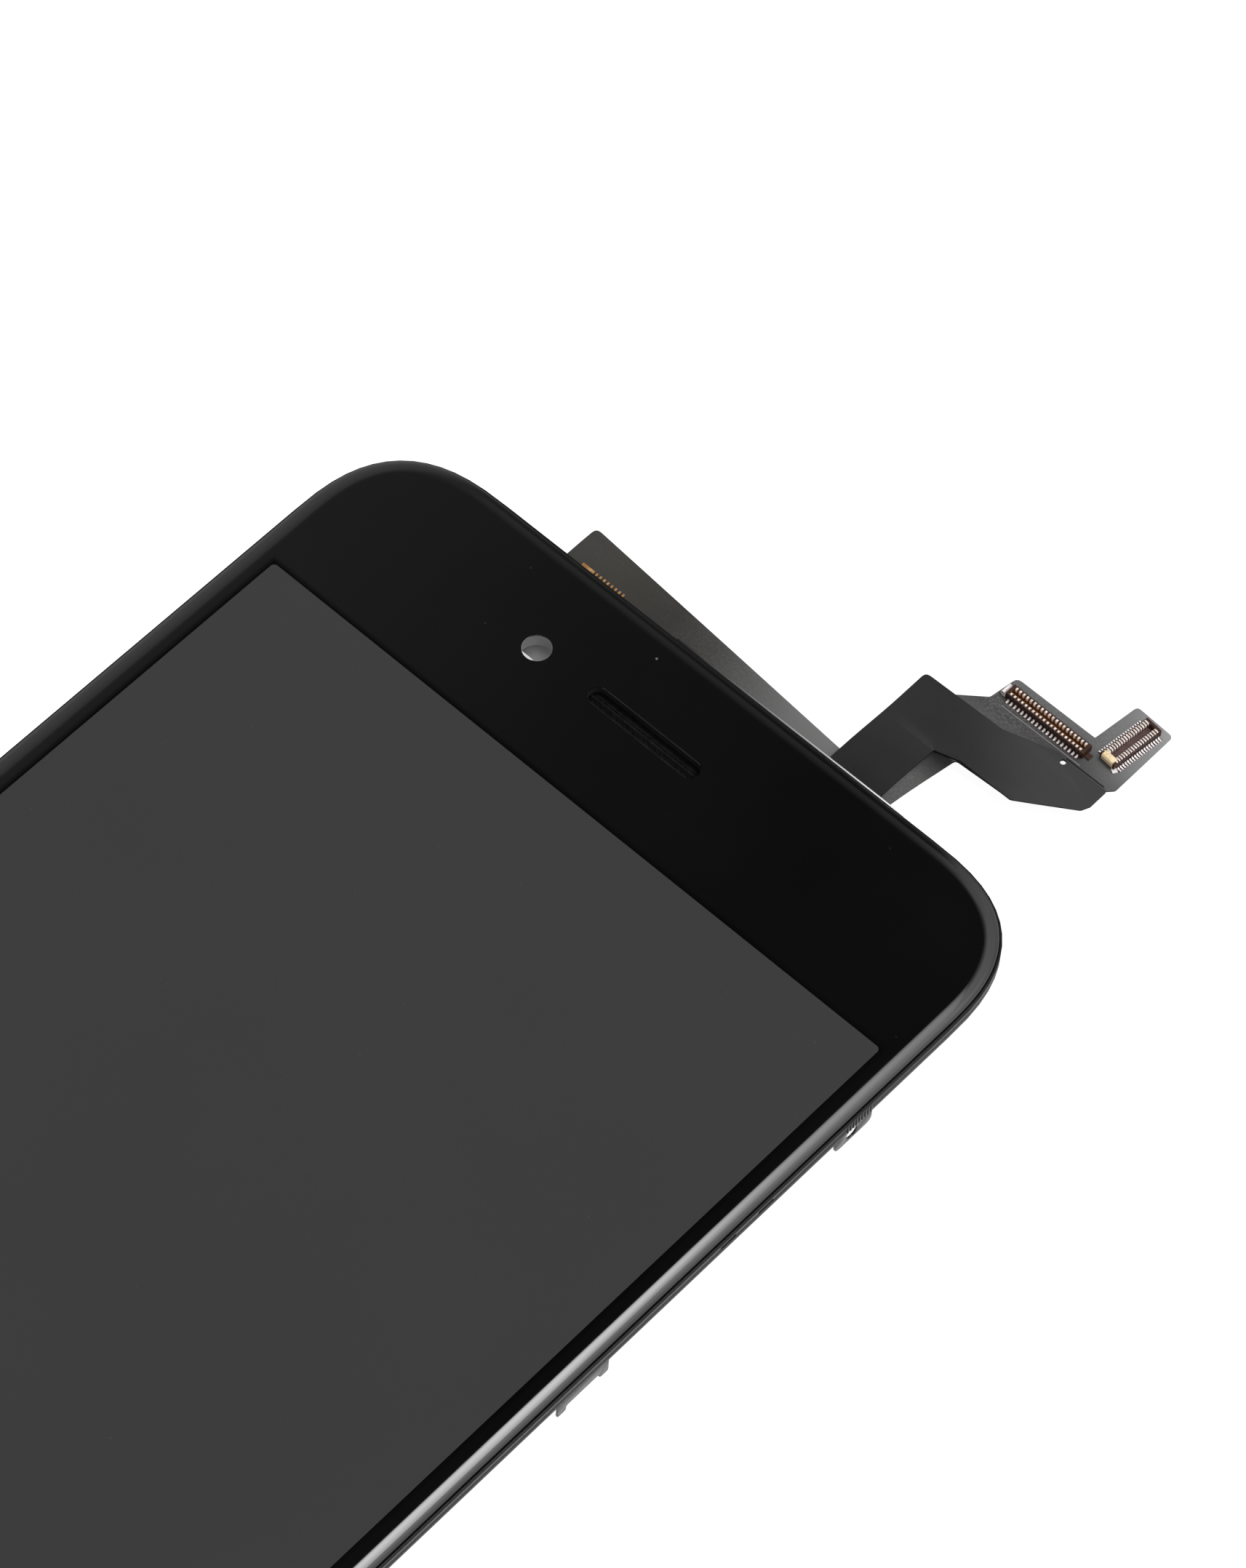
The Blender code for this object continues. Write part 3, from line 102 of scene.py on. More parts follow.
# %% Node tree helper
class Graph:
    """The nodes and links of one tree, with the steps that all trees share."""

    def __init__(self, tree):
        self.nodes, self.links = tree.nodes, tree.links

    def feed(self, socket, value):
        """Sets a number or a colour on a socket, or links another node's output to it."""
        if isinstance(value, (int, float)):
            socket.default_value = value
        elif isinstance(value, tuple):
            socket.default_value = (*value, 1)
        else:
            self.links.new(value, socket)

    def maths(self, operation, a, b=0):
        node = self.nodes.new("ShaderNodeMath")
        node.operation = operation
        self.feed(node.inputs[0], a)
        self.feed(node.inputs[1], b)
        return node.outputs[0]

    def parts(self, vector):
        node = self.nodes.new("ShaderNodeSeparateXYZ")
        self.links.new(vector, node.inputs[0])
        return node.outputs

    def curve(self, value, stops):
        """Levels or colours between (place, level) stops, held before the first and after the last."""
        low, high = stops[0][0], stops[-1][0]
        span = self.nodes.new("ShaderNodeMapRange")
        span.inputs["From Min"].default_value = low
        span.inputs["From Max"].default_value = high
        self.links.new(value, span.inputs["Value"])
        node = self.nodes.new("ShaderNodeValToRGB")
        self.links.new(span.outputs[0], node.inputs[0])
        elements = node.color_ramp.elements
        elements[0].color = shade(stops[0][1])
        elements[1].color = shade(stops[-1][1])
        for place, level in stops[1:-1]:
            elements.new((place - low) / (high - low)).color = shade(level)
        return node.outputs[0]


def shade(level):
    """Four channels from a colour or from one grey level."""
    return (*level, 1) if isinstance(level, tuple) else (level, level, level, 1)


print("node tree helper:", Graph.__doc__)

# %% [markdown]
# ## The studio
#
# Black glass is a mirror, so it is lit by what it reflects, and the light round it is a function of
# direction. A dim wall stands on the left and a bright one on the right. The bright one is
# strongest a little behind the part, and it reaches round to the left only as a band at half
# height. It ends below the zenith: overhead the studio is dark, which keeps the border black.

# %% World
LEFT_WALL = [
    (-0.90, 0.75), (-0.70, 0.80), (-0.50, 0.60), (-0.44, 0.34), (-0.40, 0.20), (-0.36, 0.10),
    (-0.33, 0.05), (-0.28, 0.03),
]
RIGHT_WALL = [
    (-0.42, 0.0), (-0.38, 0.42), (-0.31, 0.45), (-0.28, 1.6), (-0.10, 2.5), (0.20, 2.8), (0.55, 2.6),
    (0.70, 2.3), (0.90, 1.8),
]
TO_RIGHT = [(-0.30, 0), (-0.25, 1)]
OVERHEAD = [(0.0, 0.7), (0.35, 0.8), (0.50, 1.0), (0.76, 1.0), (0.84, 0.0), (1.0, 0.0)]
OVERHEAD_LIFT = [(-0.2, 0), (0.1, 0.09)]
FRONT_TO_BACK = [
    (-0.90, 0.15), (-0.20, 0.2), (0.10, 0.7), (0.35, 1.0), (0.42, 1.0), (0.52, 0.72), (0.70, 0.58),
    (1.0, 0.5),
]
BAND_HEIGHT = [
    (0.0, 0.06), (0.47, 0.08), (0.56, 0.8), (0.62, 1.0), (0.70, 0.75), (0.78, 0.35), (0.86, 0.0),
    (1.0, 0.0),
]

scene.view_settings.view_transform = "Standard"
world = bpy.data.worlds.new("studio")
scene.world = world
world.use_nodes = True
sky = Graph(world.node_tree)
direction = sky.parts(sky.nodes.new("ShaderNodeTexCoord").outputs["Generated"])
x, y, z = direction["X"], direction["Y"], direction["Z"]
overhead = sky.curve(sky.maths("SUBTRACT", z, sky.curve(x, OVERHEAD_LIFT)), OVERHEAD)
band = sky.maths("MAXIMUM", sky.curve(z, BAND_HEIGHT), sky.curve(x, TO_RIGHT))
right = sky.maths("MULTIPLY", sky.curve(x, RIGHT_WALL), sky.maths("MULTIPLY", overhead, band))
right = sky.maths("MULTIPLY", right, sky.curve(y, FRONT_TO_BACK))
background = sky.nodes["Background"].inputs
background["Color"].default_value = (1, 1, 1, 1)
sky.feed(background["Strength"], sky.maths("ADD", sky.curve(x, LEFT_WALL), right))
print("studio walls: left", LEFT_WALL[0][1], "and right", RIGHT_WALL[-1][1])

# %% [markdown]
# Two lamps stand beside this light. A long one hangs on the right, where only the curved edge of
# the glass can see it, and draws the bright line down that edge. A broad one beside the camera
# gives the plain light that shows every other colour as it is.
#
# A lamp is a softbox: a rectangle of light, brighter in places. Its own grid runs from 0 to 1 both
# ways, and two curves turn that grid into the fall of its light. The edge lamp's near side is
# sharp, which is what gives the line on the glass its crisp inner border, and it fades away to the
# right and towards the back.

# %% Softboxes
def softbox(name, at, aim, size, radiance, fade=None):
    """A rectangle of light at a place in millimetres, aimed at a point, unseen by the camera."""
    data = bpy.data.lights.new(name, "AREA")
    data.shape = "RECTANGLE"
    data.size, data.size_y = size[0] * MM, size[1] * MM
    data.energy = radiance * math.pi * data.size * data.size_y
    lamp = bpy.data.objects.new(name, data)
    scene.collection.objects.link(lamp)
    lamp.location = Vector(at) * MM
    if aim:
        look = Vector(aim) - Vector(at)
        lamp.rotation_euler = look.to_track_quat("-Z", "Y").to_euler()
    lamp.visible_camera = False
    if fade:
        data.use_nodes = True
        graph = Graph(data.node_tree)
        glow = next(node for node in graph.nodes if node.type == "EMISSION")
        spot = graph.parts(graph.nodes.new("ShaderNodeNewGeometry").outputs["Parametric"])
        across, along = graph.curve(spot["X"], fade[0]), graph.curve(spot["Y"], fade[1])
        graph.feed(glow.inputs["Strength"], graph.maths("MULTIPLY", across, along))


KEY_RADIANCE = 1.2
EDGE_RADIANCE = 14.0
EDGE_ACROSS = [
    (0.0, 0.25), (0.05, 0.60), (0.12, 0.95), (0.165, 1.0), (0.29, 1.0), (0.415, 0.85),
    (0.58, 0.66), (0.81, 0.40), (1.0, 0.18),
]
EDGE_ALONG = [
    (0.0, 1.0), (0.48, 1.0), (0.56, 0.88), (0.617, 0.69), (0.696, 0.45), (0.758, 0.37),
    (0.817, 0.28), (0.875, 0.20), (1.0, 0.08),
]
softbox("key_lamp", (330, -520, 620), (0, 20, 0), (420, 420), KEY_RADIANCE)
softbox("edge_lamp", (204, 240, 560), None, (400, 240), EDGE_RADIANCE, (EDGE_ACROSS, EDGE_ALONG))
print("lamps: key at", KEY_RADIANCE, "and edge at", EDGE_RADIANCE)

# %% [markdown]
# The floor glows evenly for the camera, for mirrored light and through clear glass, hardly lights
# the part itself, and still takes its shadow. The camera sees it a little brighter, so the shadow
# stays faint. Only mirrored light meets the darker left side and the dark card behind the part.

# %% Floor
FLOOR_SIZE = 6.0
FLOOR_GLOW = 0.84
FLOOR_SEEN = 1.12
FLOOR_PALE = 0.17
FLOOR_SIDE = [(-0.030, 0.45), (0.010, 0.45), (0.032, 1)]
CARD_DEPTH = [(0.062, 0), (0.067, 1)]
CARD_WIDTH = [
    (-0.034, 0), (-0.022, 0.97), (0.015, 0.97), (0.021, 0.6), (0.034, 0.2), (0.060, 0.0),
]


def floor_finish():
    """Pale paper whose left side and card are dark for mirrored light alone."""
    finish = bpy.data.materials.new("floor_paper")
    finish.use_nodes = True
    paper = Graph(finish.node_tree)
    shader = paper.nodes["Principled BSDF"].inputs
    shader["Roughness"].default_value = 0.9
    shader["Specular IOR Level"].default_value = 0.0
    shader["Emission Color"].default_value = (1, 1, 1, 1)
    path = paper.nodes.new("ShaderNodeLightPath").outputs
    seen = paper.maths("MULTIPLY", path["Is Camera Ray"], FLOOR_SEEN)
    seen = paper.maths("ADD", seen, path["Is Transmission Ray"])
    seen = paper.maths("ADD", seen, path["Is Glossy Ray"])
    place = paper.parts(paper.nodes.new("ShaderNodeTexCoord").outputs["Object"])
    card = paper.maths(
        "MULTIPLY", paper.curve(place["Y"], CARD_DEPTH), paper.curve(place["X"], CARD_WIDTH))
    side = paper.curve(place["X"], FLOOR_SIDE)
    mirrored = paper.maths("MULTIPLY", side, paper.maths("SUBTRACT", 1, card))
    less = paper.maths("SUBTRACT", 1, mirrored)
    level = paper.maths("SUBTRACT", 1, paper.maths("MULTIPLY", less, path["Is Glossy Ray"]))
    glow = paper.maths("MULTIPLY", seen, FLOOR_GLOW)
    paper.feed(shader["Emission Strength"], paper.maths("MULTIPLY", glow, level))
    paper.feed(shader["Base Color"], paper.maths("MULTIPLY", level, FLOOR_PALE))
    return finish


floor_mesh = bpy.data.meshes.new("floor")
half = FLOOR_SIZE / 2
floor_z = cad_box[0][2]
floor_mesh.from_pydata(
    [(-half, -half, floor_z), (half, -half, floor_z), (half, half, floor_z), (-half, half, floor_z)],
    [], [(0, 1, 2, 3)],
)
floor_mesh.materials.append(floor_finish())
floor = bpy.data.objects.new("floor", floor_mesh)
scene.collection.objects.link(floor)
print("floor at", round(floor_z / MM, 2), "mm")

# %% [markdown]
# ## Tools for finishes
#
# Real surfaces are never one flat colour. Three small node groups carry the effects that most
# finishes share: a fine grain, brushed streaks and scattered specks. Each is built once and put
# into a material with that material's own sizes, so a change in one place reaches all of them.

# %% Node groups
def new_group(name, inputs, outputs, kind="ShaderNodeTree"):
    """A node group with named inputs, each with its default, outputs, and its two end nodes."""
    group = bpy.data.node_groups.new(name, kind)
    for label, socket, value in inputs:
        made = group.interface.new_socket(label, in_out="INPUT", socket_type=socket)
        if value is not None:
            made.default_value = value
    for label, socket in outputs:
        group.interface.new_socket(label, in_out="OUTPUT", socket_type=socket)
    return group, group.nodes.new("NodeGroupInput"), group.nodes.new("NodeGroupOutput")


def grain_group():
    """Cloudy variation at one size and a fine tooth at another."""
    group, given, out = new_group(
        "fine_grain",
        [("Vector", "NodeSocketVector", None), ("Cloud Scale", "NodeSocketFloat", 0.3),
         ("Tooth Scale", "NodeSocketFloat", 6.0)],
        [("Clouds", "NodeSocketFloat"), ("Tooth", "NodeSocketFloat")],
    )
    nodes, links = group.nodes, group.links
    clouds = nodes.new("ShaderNodeTexNoise")
    clouds.inputs["Detail"].default_value = 3
    tooth = nodes.new("ShaderNodeTexNoise")
    tooth.inputs["Detail"].default_value = 2
    for noise, size in ((clouds, "Cloud Scale"), (tooth, "Tooth Scale")):
        links.new(given.outputs["Vector"], noise.inputs["Vector"])
        links.new(given.outputs[size], noise.inputs["Scale"])
    links.new(clouds.outputs[0], out.inputs["Clouds"])
    links.new(tooth.outputs[0], out.inputs["Tooth"])
    return group


def streak_group():
    """Long fine streaks, as rolling and brushing leave them."""
    group, given, out = new_group(
        "brushed_streaks",
        [("Vector", "NodeSocketVector", None), ("Stretch", "NodeSocketVector", (1, 20, 20))],
        [("Streaks", "NodeSocketFloat")],
    )
    nodes, links = group.nodes, group.links
    stretch = nodes.new("ShaderNodeVectorMath")
    stretch.operation = "MULTIPLY"
    links.new(given.outputs["Vector"], stretch.inputs[0])
    links.new(given.outputs["Stretch"], stretch.inputs[1])
    streaks = nodes.new("ShaderNodeTexNoise")
    streaks.inputs["Scale"].default_value = 0.6
    streaks.inputs["Detail"].default_value = 4
    links.new(stretch.outputs[0], streaks.inputs["Vector"])
    links.new(streaks.outputs[0], out.inputs["Streaks"])
    return group


def speck_group():
    """Scattered specks, from the distance to random points."""
    group, given, out = new_group(
        "specks",
        [("Vector", "NodeSocketVector", None), ("Scale", "NodeSocketFloat", 0.6),
         ("Size", "NodeSocketFloat", 0.05)],
        [("Specks", "NodeSocketFloat")],
    )
    nodes, links = group.nodes, group.links
    cells = nodes.new("ShaderNodeTexVoronoi")
    links.new(given.outputs["Vector"], cells.inputs["Vector"])
    links.new(given.outputs["Scale"], cells.inputs["Scale"])
    near = Graph(group).maths("LESS_THAN", cells.outputs["Distance"], given.outputs["Size"])
    links.new(near, out.inputs["Specks"])
    return group


GRAIN, STREAKS, SPECKS = grain_group(), streak_group(), speck_group()
print("node groups:", GRAIN.name, STREAKS.name, SPECKS.name)

# %% [markdown]
# A finish is a Principled shader whose colour, roughness and surface are varied by those groups.
# One class makes the common part, and the special finishes add their own nodes after it.
# Object coordinates are turned into millimetres first, so every pattern size below is one that
# could be measured on the real part.

# %% Finish maker
NOISE_LOW, NOISE_HIGH = 0.3, 0.7  # nearly all of a noise lies between these


class Finish(Graph):
    """A material under construction: its nodes, its links, its shader and its millimetre grid."""

    def __init__(self, name):
        self.material = bpy.data.materials.new(name)
        self.material.use_nodes = True
        super().__init__(self.material.node_tree)
        self.shader = self.nodes["Principled BSDF"]
        place = self.nodes.new("ShaderNodeTexCoord")
        grid = self.nodes.new("ShaderNodeMapping")
        grid.inputs["Scale"].default_value = (1 / MM, 1 / MM, 1 / MM)
        self.links.new(place.outputs["Object"], grid.inputs["Vector"])
        self.grid = grid.outputs["Vector"]

    def set(self, **values):
        for label, value in values.items():
            self.shader.inputs[label.replace("_", " ")].default_value = value
        return self

    def group(self, tree, **values):
        """Puts a shared group on the millimetre grid and gives its outputs."""
        node = self.nodes.new("ShaderNodeGroup")
        node.node_tree = tree
        self.links.new(self.grid, node.inputs["Vector"])
        for label, value in values.items():
            node.inputs[label.replace("_", " ")].default_value = value
        return node.outputs

    def ramp(self, value, low, high, smooth=False, first=0.0, last=1.0):
        """Turns value from low..high into first..last."""
        node = self.nodes.new("ShaderNodeMapRange")
        node.interpolation_type = "SMOOTHSTEP" if smooth else "LINEAR"
        self.links.new(value, node.inputs["Value"])
        for label, number in (("From Min", low), ("From Max", high), ("To Min", first), ("To Max", last)):
            node.inputs[label].default_value = number
        return node.outputs[0]

    def spread(self, noise, first=0.0, last=1.0):
        """Stretches a noise over first..last."""
        return self.ramp(noise, NOISE_LOW, NOISE_HIGH, first=first, last=last)

    def mix(self, factor, a, b):
        """A colour between a and b, each given as three numbers or taken from another node."""
        node = self.nodes.new("ShaderNodeMix")
        node.data_type = "RGBA"
        for label, value in (("Factor", factor), ("A", a), ("B", b)):
            self.feed(node.inputs[label], value)
        return node.outputs["Result"]

    def axis(self, letter):
        return self.parts(self.grid)[letter]

    def colour(self, source):
        self.feed(self.shader.inputs["Base Color"], source)

    def surface(self, source, rough, depth=None):
        """One noise drives the roughness and, at a depth in millimetres, the bump."""
        self.feed(self.shader.inputs["Roughness"], self.spread(source, *rough))
        if depth:
            node = self.nodes.new("ShaderNodeBump")
            node.inputs["Distance"].default_value = depth * MM
            node.inputs["Strength"].default_value = 1.0
            self.links.new(source, node.inputs["Height"])
            self.links.new(node.outputs[0], self.shader.inputs["Normal"])


def grey(level):
    return (level, level, level)


def grained(name, dark, pale, rough, metallic=0.0, cloud=0.3, tooth=6.0, depth=0.004):
    """The common finish: clouds between two colours, a roughness range and a fine tooth."""
    finish = Finish(name).set(Metallic=metallic)
    grain = finish.group(GRAIN, Cloud_Scale=cloud, Tooth_Scale=tooth)
    finish.colour(finish.mix(finish.spread(grain["Clouds"]), dark, pale))
    finish.surface(grain["Tooth"], rough, depth)
    return finish


def brushed(name, dark, pale, rough, stretch, depth=0.003, metallic=1.0):
    """A rolled or brushed metal: streaks move its colour, its gloss and its surface."""
    finish = Finish(name).set(Metallic=metallic)
    streaks = finish.group(STREAKS, Stretch=stretch)["Streaks"]
    finish.colour(finish.mix(finish.spread(streaks), dark, pale))
    finish.surface(streaks, rough, depth)
    return finish


print("finish makers: grained and brushed")


# %% [markdown]
# ## Tools for shapes
#
# The solids come in as loose flat triangles, which is right for measuring and poor for light. For
# each piece that shows, a copy is merged, its flat regions joined, its corners broken by a tiny
# bevel and its curves shaded smooth. A sharp corner never catches light, and a real moulded or
# stamped one always does.

# %% Shape helpers
WELD = 1e-7
FLAT_ANGLE = math.radians(0.4)
CORNER_ANGLE = math.radians(35)


def add_piece(name, mesh, slot, *replaced):
    """Puts a finished mesh in the scene, on the part's one body, in place of the solids named."""
    piece = bpy.data.objects.new(name, mesh)
    scene.collection.objects.link(piece)
    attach(piece, "root")
    if replaced:
        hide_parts(*replaced)


def mesh_from(bm, name):
    """The shape under construction as a mesh."""
    mesh = bpy.data.meshes.new(name)
    bm.to_mesh(mesh)
    bm.free()
    return mesh


def baked(thing):
    """The thing's mesh with its modifiers applied, and the thing itself taken away."""
    graph = bpy.context.evaluated_depsgraph_get()
    mesh = bpy.data.meshes.new_from_object(thing.evaluated_get(graph))
    bpy.data.objects.remove(thing)
    return mesh


def softened(node, name, finish, slot, bevel, segments=2):
    """A merged, bevelled and smoothly shaded copy of a solid, which then stands for it."""
    bm = bmesh.new()
    bm.from_mesh(solids[node].data)
    bmesh.ops.remove_doubles(bm, verts=bm.verts[:], dist=WELD)
    bmesh.ops.dissolve_limit(bm, angle_limit=FLAT_ANGLE, verts=bm.verts[:], edges=bm.edges[:])
    thing = bpy.data.objects.new(name + "_raw", mesh_from(bm, name))
    scene.collection.objects.link(thing)
    corner = thing.modifiers.new("corner", "BEVEL")
    corner.width = bevel * MM
    corner.segments = segments
    corner.limit_method = "ANGLE"
    corner.angle_limit = CORNER_ANGLE
    corner.use_clamp_overlap = True
    made = baked(thing)
    made.name = name
    made.shade_smooth()
    made.set_sharp_from_angle(angle=CORNER_ANGLE)
    made.materials.clear()
    made.materials.append(finish.material)
    add_piece(name, made, slot, node)


print("shape helpers ready")

# %% [markdown]
# ## The cover glass
#
# The front is one pane of hardened glass. Its rim falls away in a quarter of a flat ellipse, so
# the light that it mirrors slides from overhead to the horizon within a millimetre. The black
# border is a print on its back, and the grey field is the switched-off panel glued behind it.
#
# The pane is lofted from outlines at many heights, so that the mirrored line runs true. Its flat
# front is filled around the picture, the windows, the slot and the button hole, and each field
# gets its own finish.

# %% Outline of the pane
HALF_W, HALF_L = 31.63, 67.53
CORNER_REACH, CORNER_POWER = 11.0, 2.74
CORNER_STEPS = 36
GLASS_IN = 0.23
GLASS_T = 0.70
GLASS_CURVE_W, GLASS_CURVE_DROP = 1.35, 0.52
GLASS_FOOT_CHAMFER = 0.08
PICTURE_X, PICTURE_Y = 29.25, 52.025
PICTURE_CORNER = 0.35
PICTURE_SHIFT = (0.167, -0.203)
SLOT_Y = 59.625
SLOT_L, SLOT_W = 10.4, 1.6
BUTTON_Y, BUTTON_R = -60.225, 5.1
CAMERA_WINDOW = (-10.4, 59.625, 1.13)
PROXIMITY_WINDOW = (-3.6, 64.925, 0.09)


def assembly_outline(inset):
    """The rounded outline of the whole part, anticlockwise, moved in by inset."""
    quarter = []
    for step in range(CORNER_STEPS + 1):
        angle = step / CORNER_STEPS * math.pi / 2
        c, s = abs(math.cos(angle)), abs(math.sin(angle))
        along = Vector((c ** (2 / CORNER_POWER), s ** (2 / CORNER_POWER)))
        normal = Vector((c ** (2 - 2 / CORNER_POWER), s ** (2 - 2 / CORNER_POWER))).normalized()
        middle = Vector((HALF_W - CORNER_REACH, HALF_L - CORNER_REACH))
        quarter.append(middle + along * CORNER_REACH - normal * inset)
    right_top = [(p.x, p.y) for p in quarter]
    left_top = [(-x, y) for x, y in reversed(right_top)]
    left_low = [(-x, -y) for x, y in right_top]
    right_low = [(x, -y) for x, y in reversed(right_top)]
    return right_top + left_top + left_low + right_low


def circle(x, y, radius, steps=64):
    turns = [2 * math.pi * i / steps for i in range(steps)]
    return [(x + radius * math.cos(t), y + radius * math.sin(t)) for t in turns]


def stadium(x, y, length, width, steps=16):
    """Two half circles joined by straight sides, along X."""
    reach = (length - width) / 2
    made = []
    for end, first in ((1, -math.pi / 2), (-1, math.pi / 2)):
        for step in range(steps + 1):
            t = first + math.pi * step / steps
            made.append((x + end * reach + width / 2 * math.cos(t), y + width / 2 * math.sin(t)))
    return made


def soft_rectangle(half_x, half_y, radius, shift=(0, 0), steps=6):
    made = []
    for quarter, (sx, sy) in enumerate(((1, 1), (-1, 1), (-1, -1), (1, -1))):
        for step in range(steps + 1):
            t = math.pi / 2 * (quarter + step / steps)
            x = shift[0] + sx * (half_x - radius) + radius * math.cos(t)
            y = shift[1] + sy * (half_y - radius) + radius * math.sin(t)
            made.append((x, y))
    return made


print("points of the outline:", len(assembly_outline(GLASS_IN)))


# %% Loft the pane
INK, PICTURE, RIM, CLEAR, FILTER, HOLE, FAR_EDGE, NEAR_EDGE = range(8)
CLEAR_RIM_W = 0.36
CURVE_STEPS = 26
FLAT_IN = 0.2  # from the end of the curve to the flat field
HOLE_CHAMFER = 0.05
FAR_SHARE = 0.47  # of the slot's width, beyond which its edge is the far one
WINDOW_SPREAD = 0.45


class Loft:
    """Builds one closed body from stacked loops and filled fields, in millimetres."""

    def __init__(self):
        self.bm = bmesh.new()

    def loop(self, outline, z):
        return [self.bm.verts.new((x * MM, y * MM, z * MM)) for x, y in outline]

    def wall(self, lower, upper, finish, beyond=None, far_finish=None):
        """Joins two loops. Faces farther back than beyond can get a finish of their own."""
        for i in range(len(lower)):
            face = self.bm.faces.new((lower[i - 1], lower[i], upper[i], upper[i - 1]))
            far = beyond is not None and face.calc_center_median().y > beyond * MM
            face.material_index = far_finish if far else finish

    def fill(self, loops, finish):
        edges = []
        for verts in loops:
            for a, b in zip(verts, verts[1:] + verts[:1]):
                edges.append(self.bm.edges.get((a, b)) or self.bm.edges.new((a, b)))
        made = bmesh.ops.triangle_fill(self.bm, use_beauty=True, edges=edges)
        for face in made["geom"]:
            if isinstance(face, bmesh.types.BMFace):
                face.material_index = finish

    def mesh(self, name):
        bmesh.ops.recalc_face_normals(self.bm, faces=self.bm.faces[:])
        made = mesh_from(self.bm, name)
        made.shade_smooth()
        made.set_sharp_from_angle(angle=math.radians(30))
        return made


def lofted_pane():
    loft = Loft()
    foot = loft.loop(assembly_outline(GLASS_IN + GLASS_FOOT_CHAMFER), -GLASS_T)
    below = loft.loop(assembly_outline(GLASS_IN), -GLASS_T + GLASS_FOOT_CHAMFER)
    loft.wall(foot, below, RIM)
    for step in range(CURVE_STEPS + 1):
        angle = step / CURVE_STEPS * math.pi / 2
        inset = GLASS_CURVE_W * (1 - math.cos(angle))
        z = -GLASS_CURVE_DROP * (1 - math.sin(angle))
        ring = loft.loop(assembly_outline(GLASS_IN + inset), z)
        loft.wall(below, ring, RIM if inset < CLEAR_RIM_W else INK)
        below = ring
    flat = loft.loop(assembly_outline(GLASS_IN + GLASS_CURVE_W + FLAT_IN), 0)
    loft.wall(below, flat, INK)
    c = HOLE_CHAMFER
    slot = stadium(0, SLOT_Y, SLOT_L, SLOT_W)
    far_side = SLOT_Y + SLOT_W * FAR_SHARE
    holes = [
        (stadium(0, SLOT_Y, SLOT_L + 2 * c, SLOT_W + 2 * c), slot, NEAR_EDGE, far_side),
        (circle(0, BUTTON_Y, BUTTON_R + c, 96), circle(0, BUTTON_Y, BUTTON_R, 96), INK, None),
    ]
    fronts, backs = [], []
    for wide, narrow, edge, far in holes:
        stack = [
            loft.loop(wide, 0), loft.loop(narrow, -c), loft.loop(narrow, -GLASS_T + c),
            loft.loop(wide, -GLASS_T),
        ]
        loft.wall(stack[1], stack[0], edge, far, FAR_EDGE)
        for upper, lower in zip(stack[1:], stack[2:]):
            loft.wall(lower, upper, HOLE)
        fronts.append(stack[0])
        backs.append(stack[-1])
    for (x, y, radius), wider, finish in (
        (CAMERA_WINDOW, WINDOW_SPREAD, CLEAR), (PROXIMITY_WINDOW, 0, FILTER),
    ):
        for z, extra, found in ((0, 0, fronts), (-GLASS_T, wider, backs)):
            window = loft.loop(circle(x, y, radius + extra), z)
            loft.fill([window], finish)
            found.append(window)
    field = soft_rectangle(PICTURE_X, PICTURE_Y, PICTURE_CORNER, PICTURE_SHIFT)
    picture = loft.loop(field, 0)
    loft.fill([picture], PICTURE)
    loft.fill([flat, picture] + fronts, INK)
    loft.fill([foot] + backs, INK)
    return loft.mesh("cover_pane")


pane_mesh = lofted_pane()
print("pane:", len(pane_mesh.polygons), "faces")

# %% [markdown]
# The border is nearly black, so almost all that it shows is gloss. Real screens carry a faint
# smear of roughness and a few specks of dust, and those keep the mirror from looking like paint.
# The camera's window is the one place where the glass is really clear.

# %% Finishes of the pane
DUST_SHARE, DUST_GREY = 0.02, 0.6


def polished(name, dark, pale, gloss=0.045, mirror=0.5):
    """Gloss over a colour, with a faint smear of roughness and a few specks of dust."""
    finish = Finish(name).set(IOR=1.5, Specular_IOR_Level=mirror)
    grain = finish.group(GRAIN, Cloud_Scale=0.05, Tooth_Scale=0.5)
    dust = finish.group(SPECKS, Scale=0.35, Size=0.03)["Specks"]
    ground = finish.mix(finish.spread(grain["Clouds"]), dark, pale)
    finish.colour(finish.mix(finish.maths("MULTIPLY", dust, DUST_SHARE), ground, grey(DUST_GREY)))
    finish.surface(grain["Tooth"], (gloss, gloss * 1.5))
    return finish


glass_ink = polished("glass_over_black_print", (0.0016, 0.0016, 0.0017), (0.0030, 0.0030, 0.0031))
# A dark hairline is painted round the picture by turning the border's reflection down there.
away = []
for letter, half, shift in zip("XY", (PICTURE_X, PICTURE_Y), PICTURE_SHIFT):
    side = glass_ink.maths("ABSOLUTE", glass_ink.maths("SUBTRACT", glass_ink.axis(letter), shift))
    away.append(glass_ink.maths("SUBTRACT", side, half))
from_picture = glass_ink.maths("MAXIMUM", *away)
mirrored = glass_ink.ramp(from_picture, 0.10, 0.55, first=0.02, last=0.5)
glass_ink.feed(glass_ink.shader.inputs["Specular IOR Level"], mirrored)
glass_picture = polished(
    "glass_over_dark_panel", (0.0395, 0.0395, 0.0400), (0.0410, 0.0410, 0.0415), mirror=0.12)
glass_rim = polished("bare_glass_rim", grey(0.003), grey(0.006), 0.08)
ground = glass_rim.shader.inputs["Base Color"].links[0].from_socket
# Painted light: the rim is coloured lighter down the right side, where the lamps fall on it.
rim_painted_light = glass_rim.ramp(glass_rim.axis("X"), 30.2, 31.2)
glass_rim.colour(glass_rim.mix(rim_painted_light, ground, grey(0.026)))
glass_clear = Finish("clear_window").set(
    Base_Color=(0.98, 0.98, 0.98, 1), Transmission_Weight=1.0, IOR=1.5, Roughness=0.0,
)
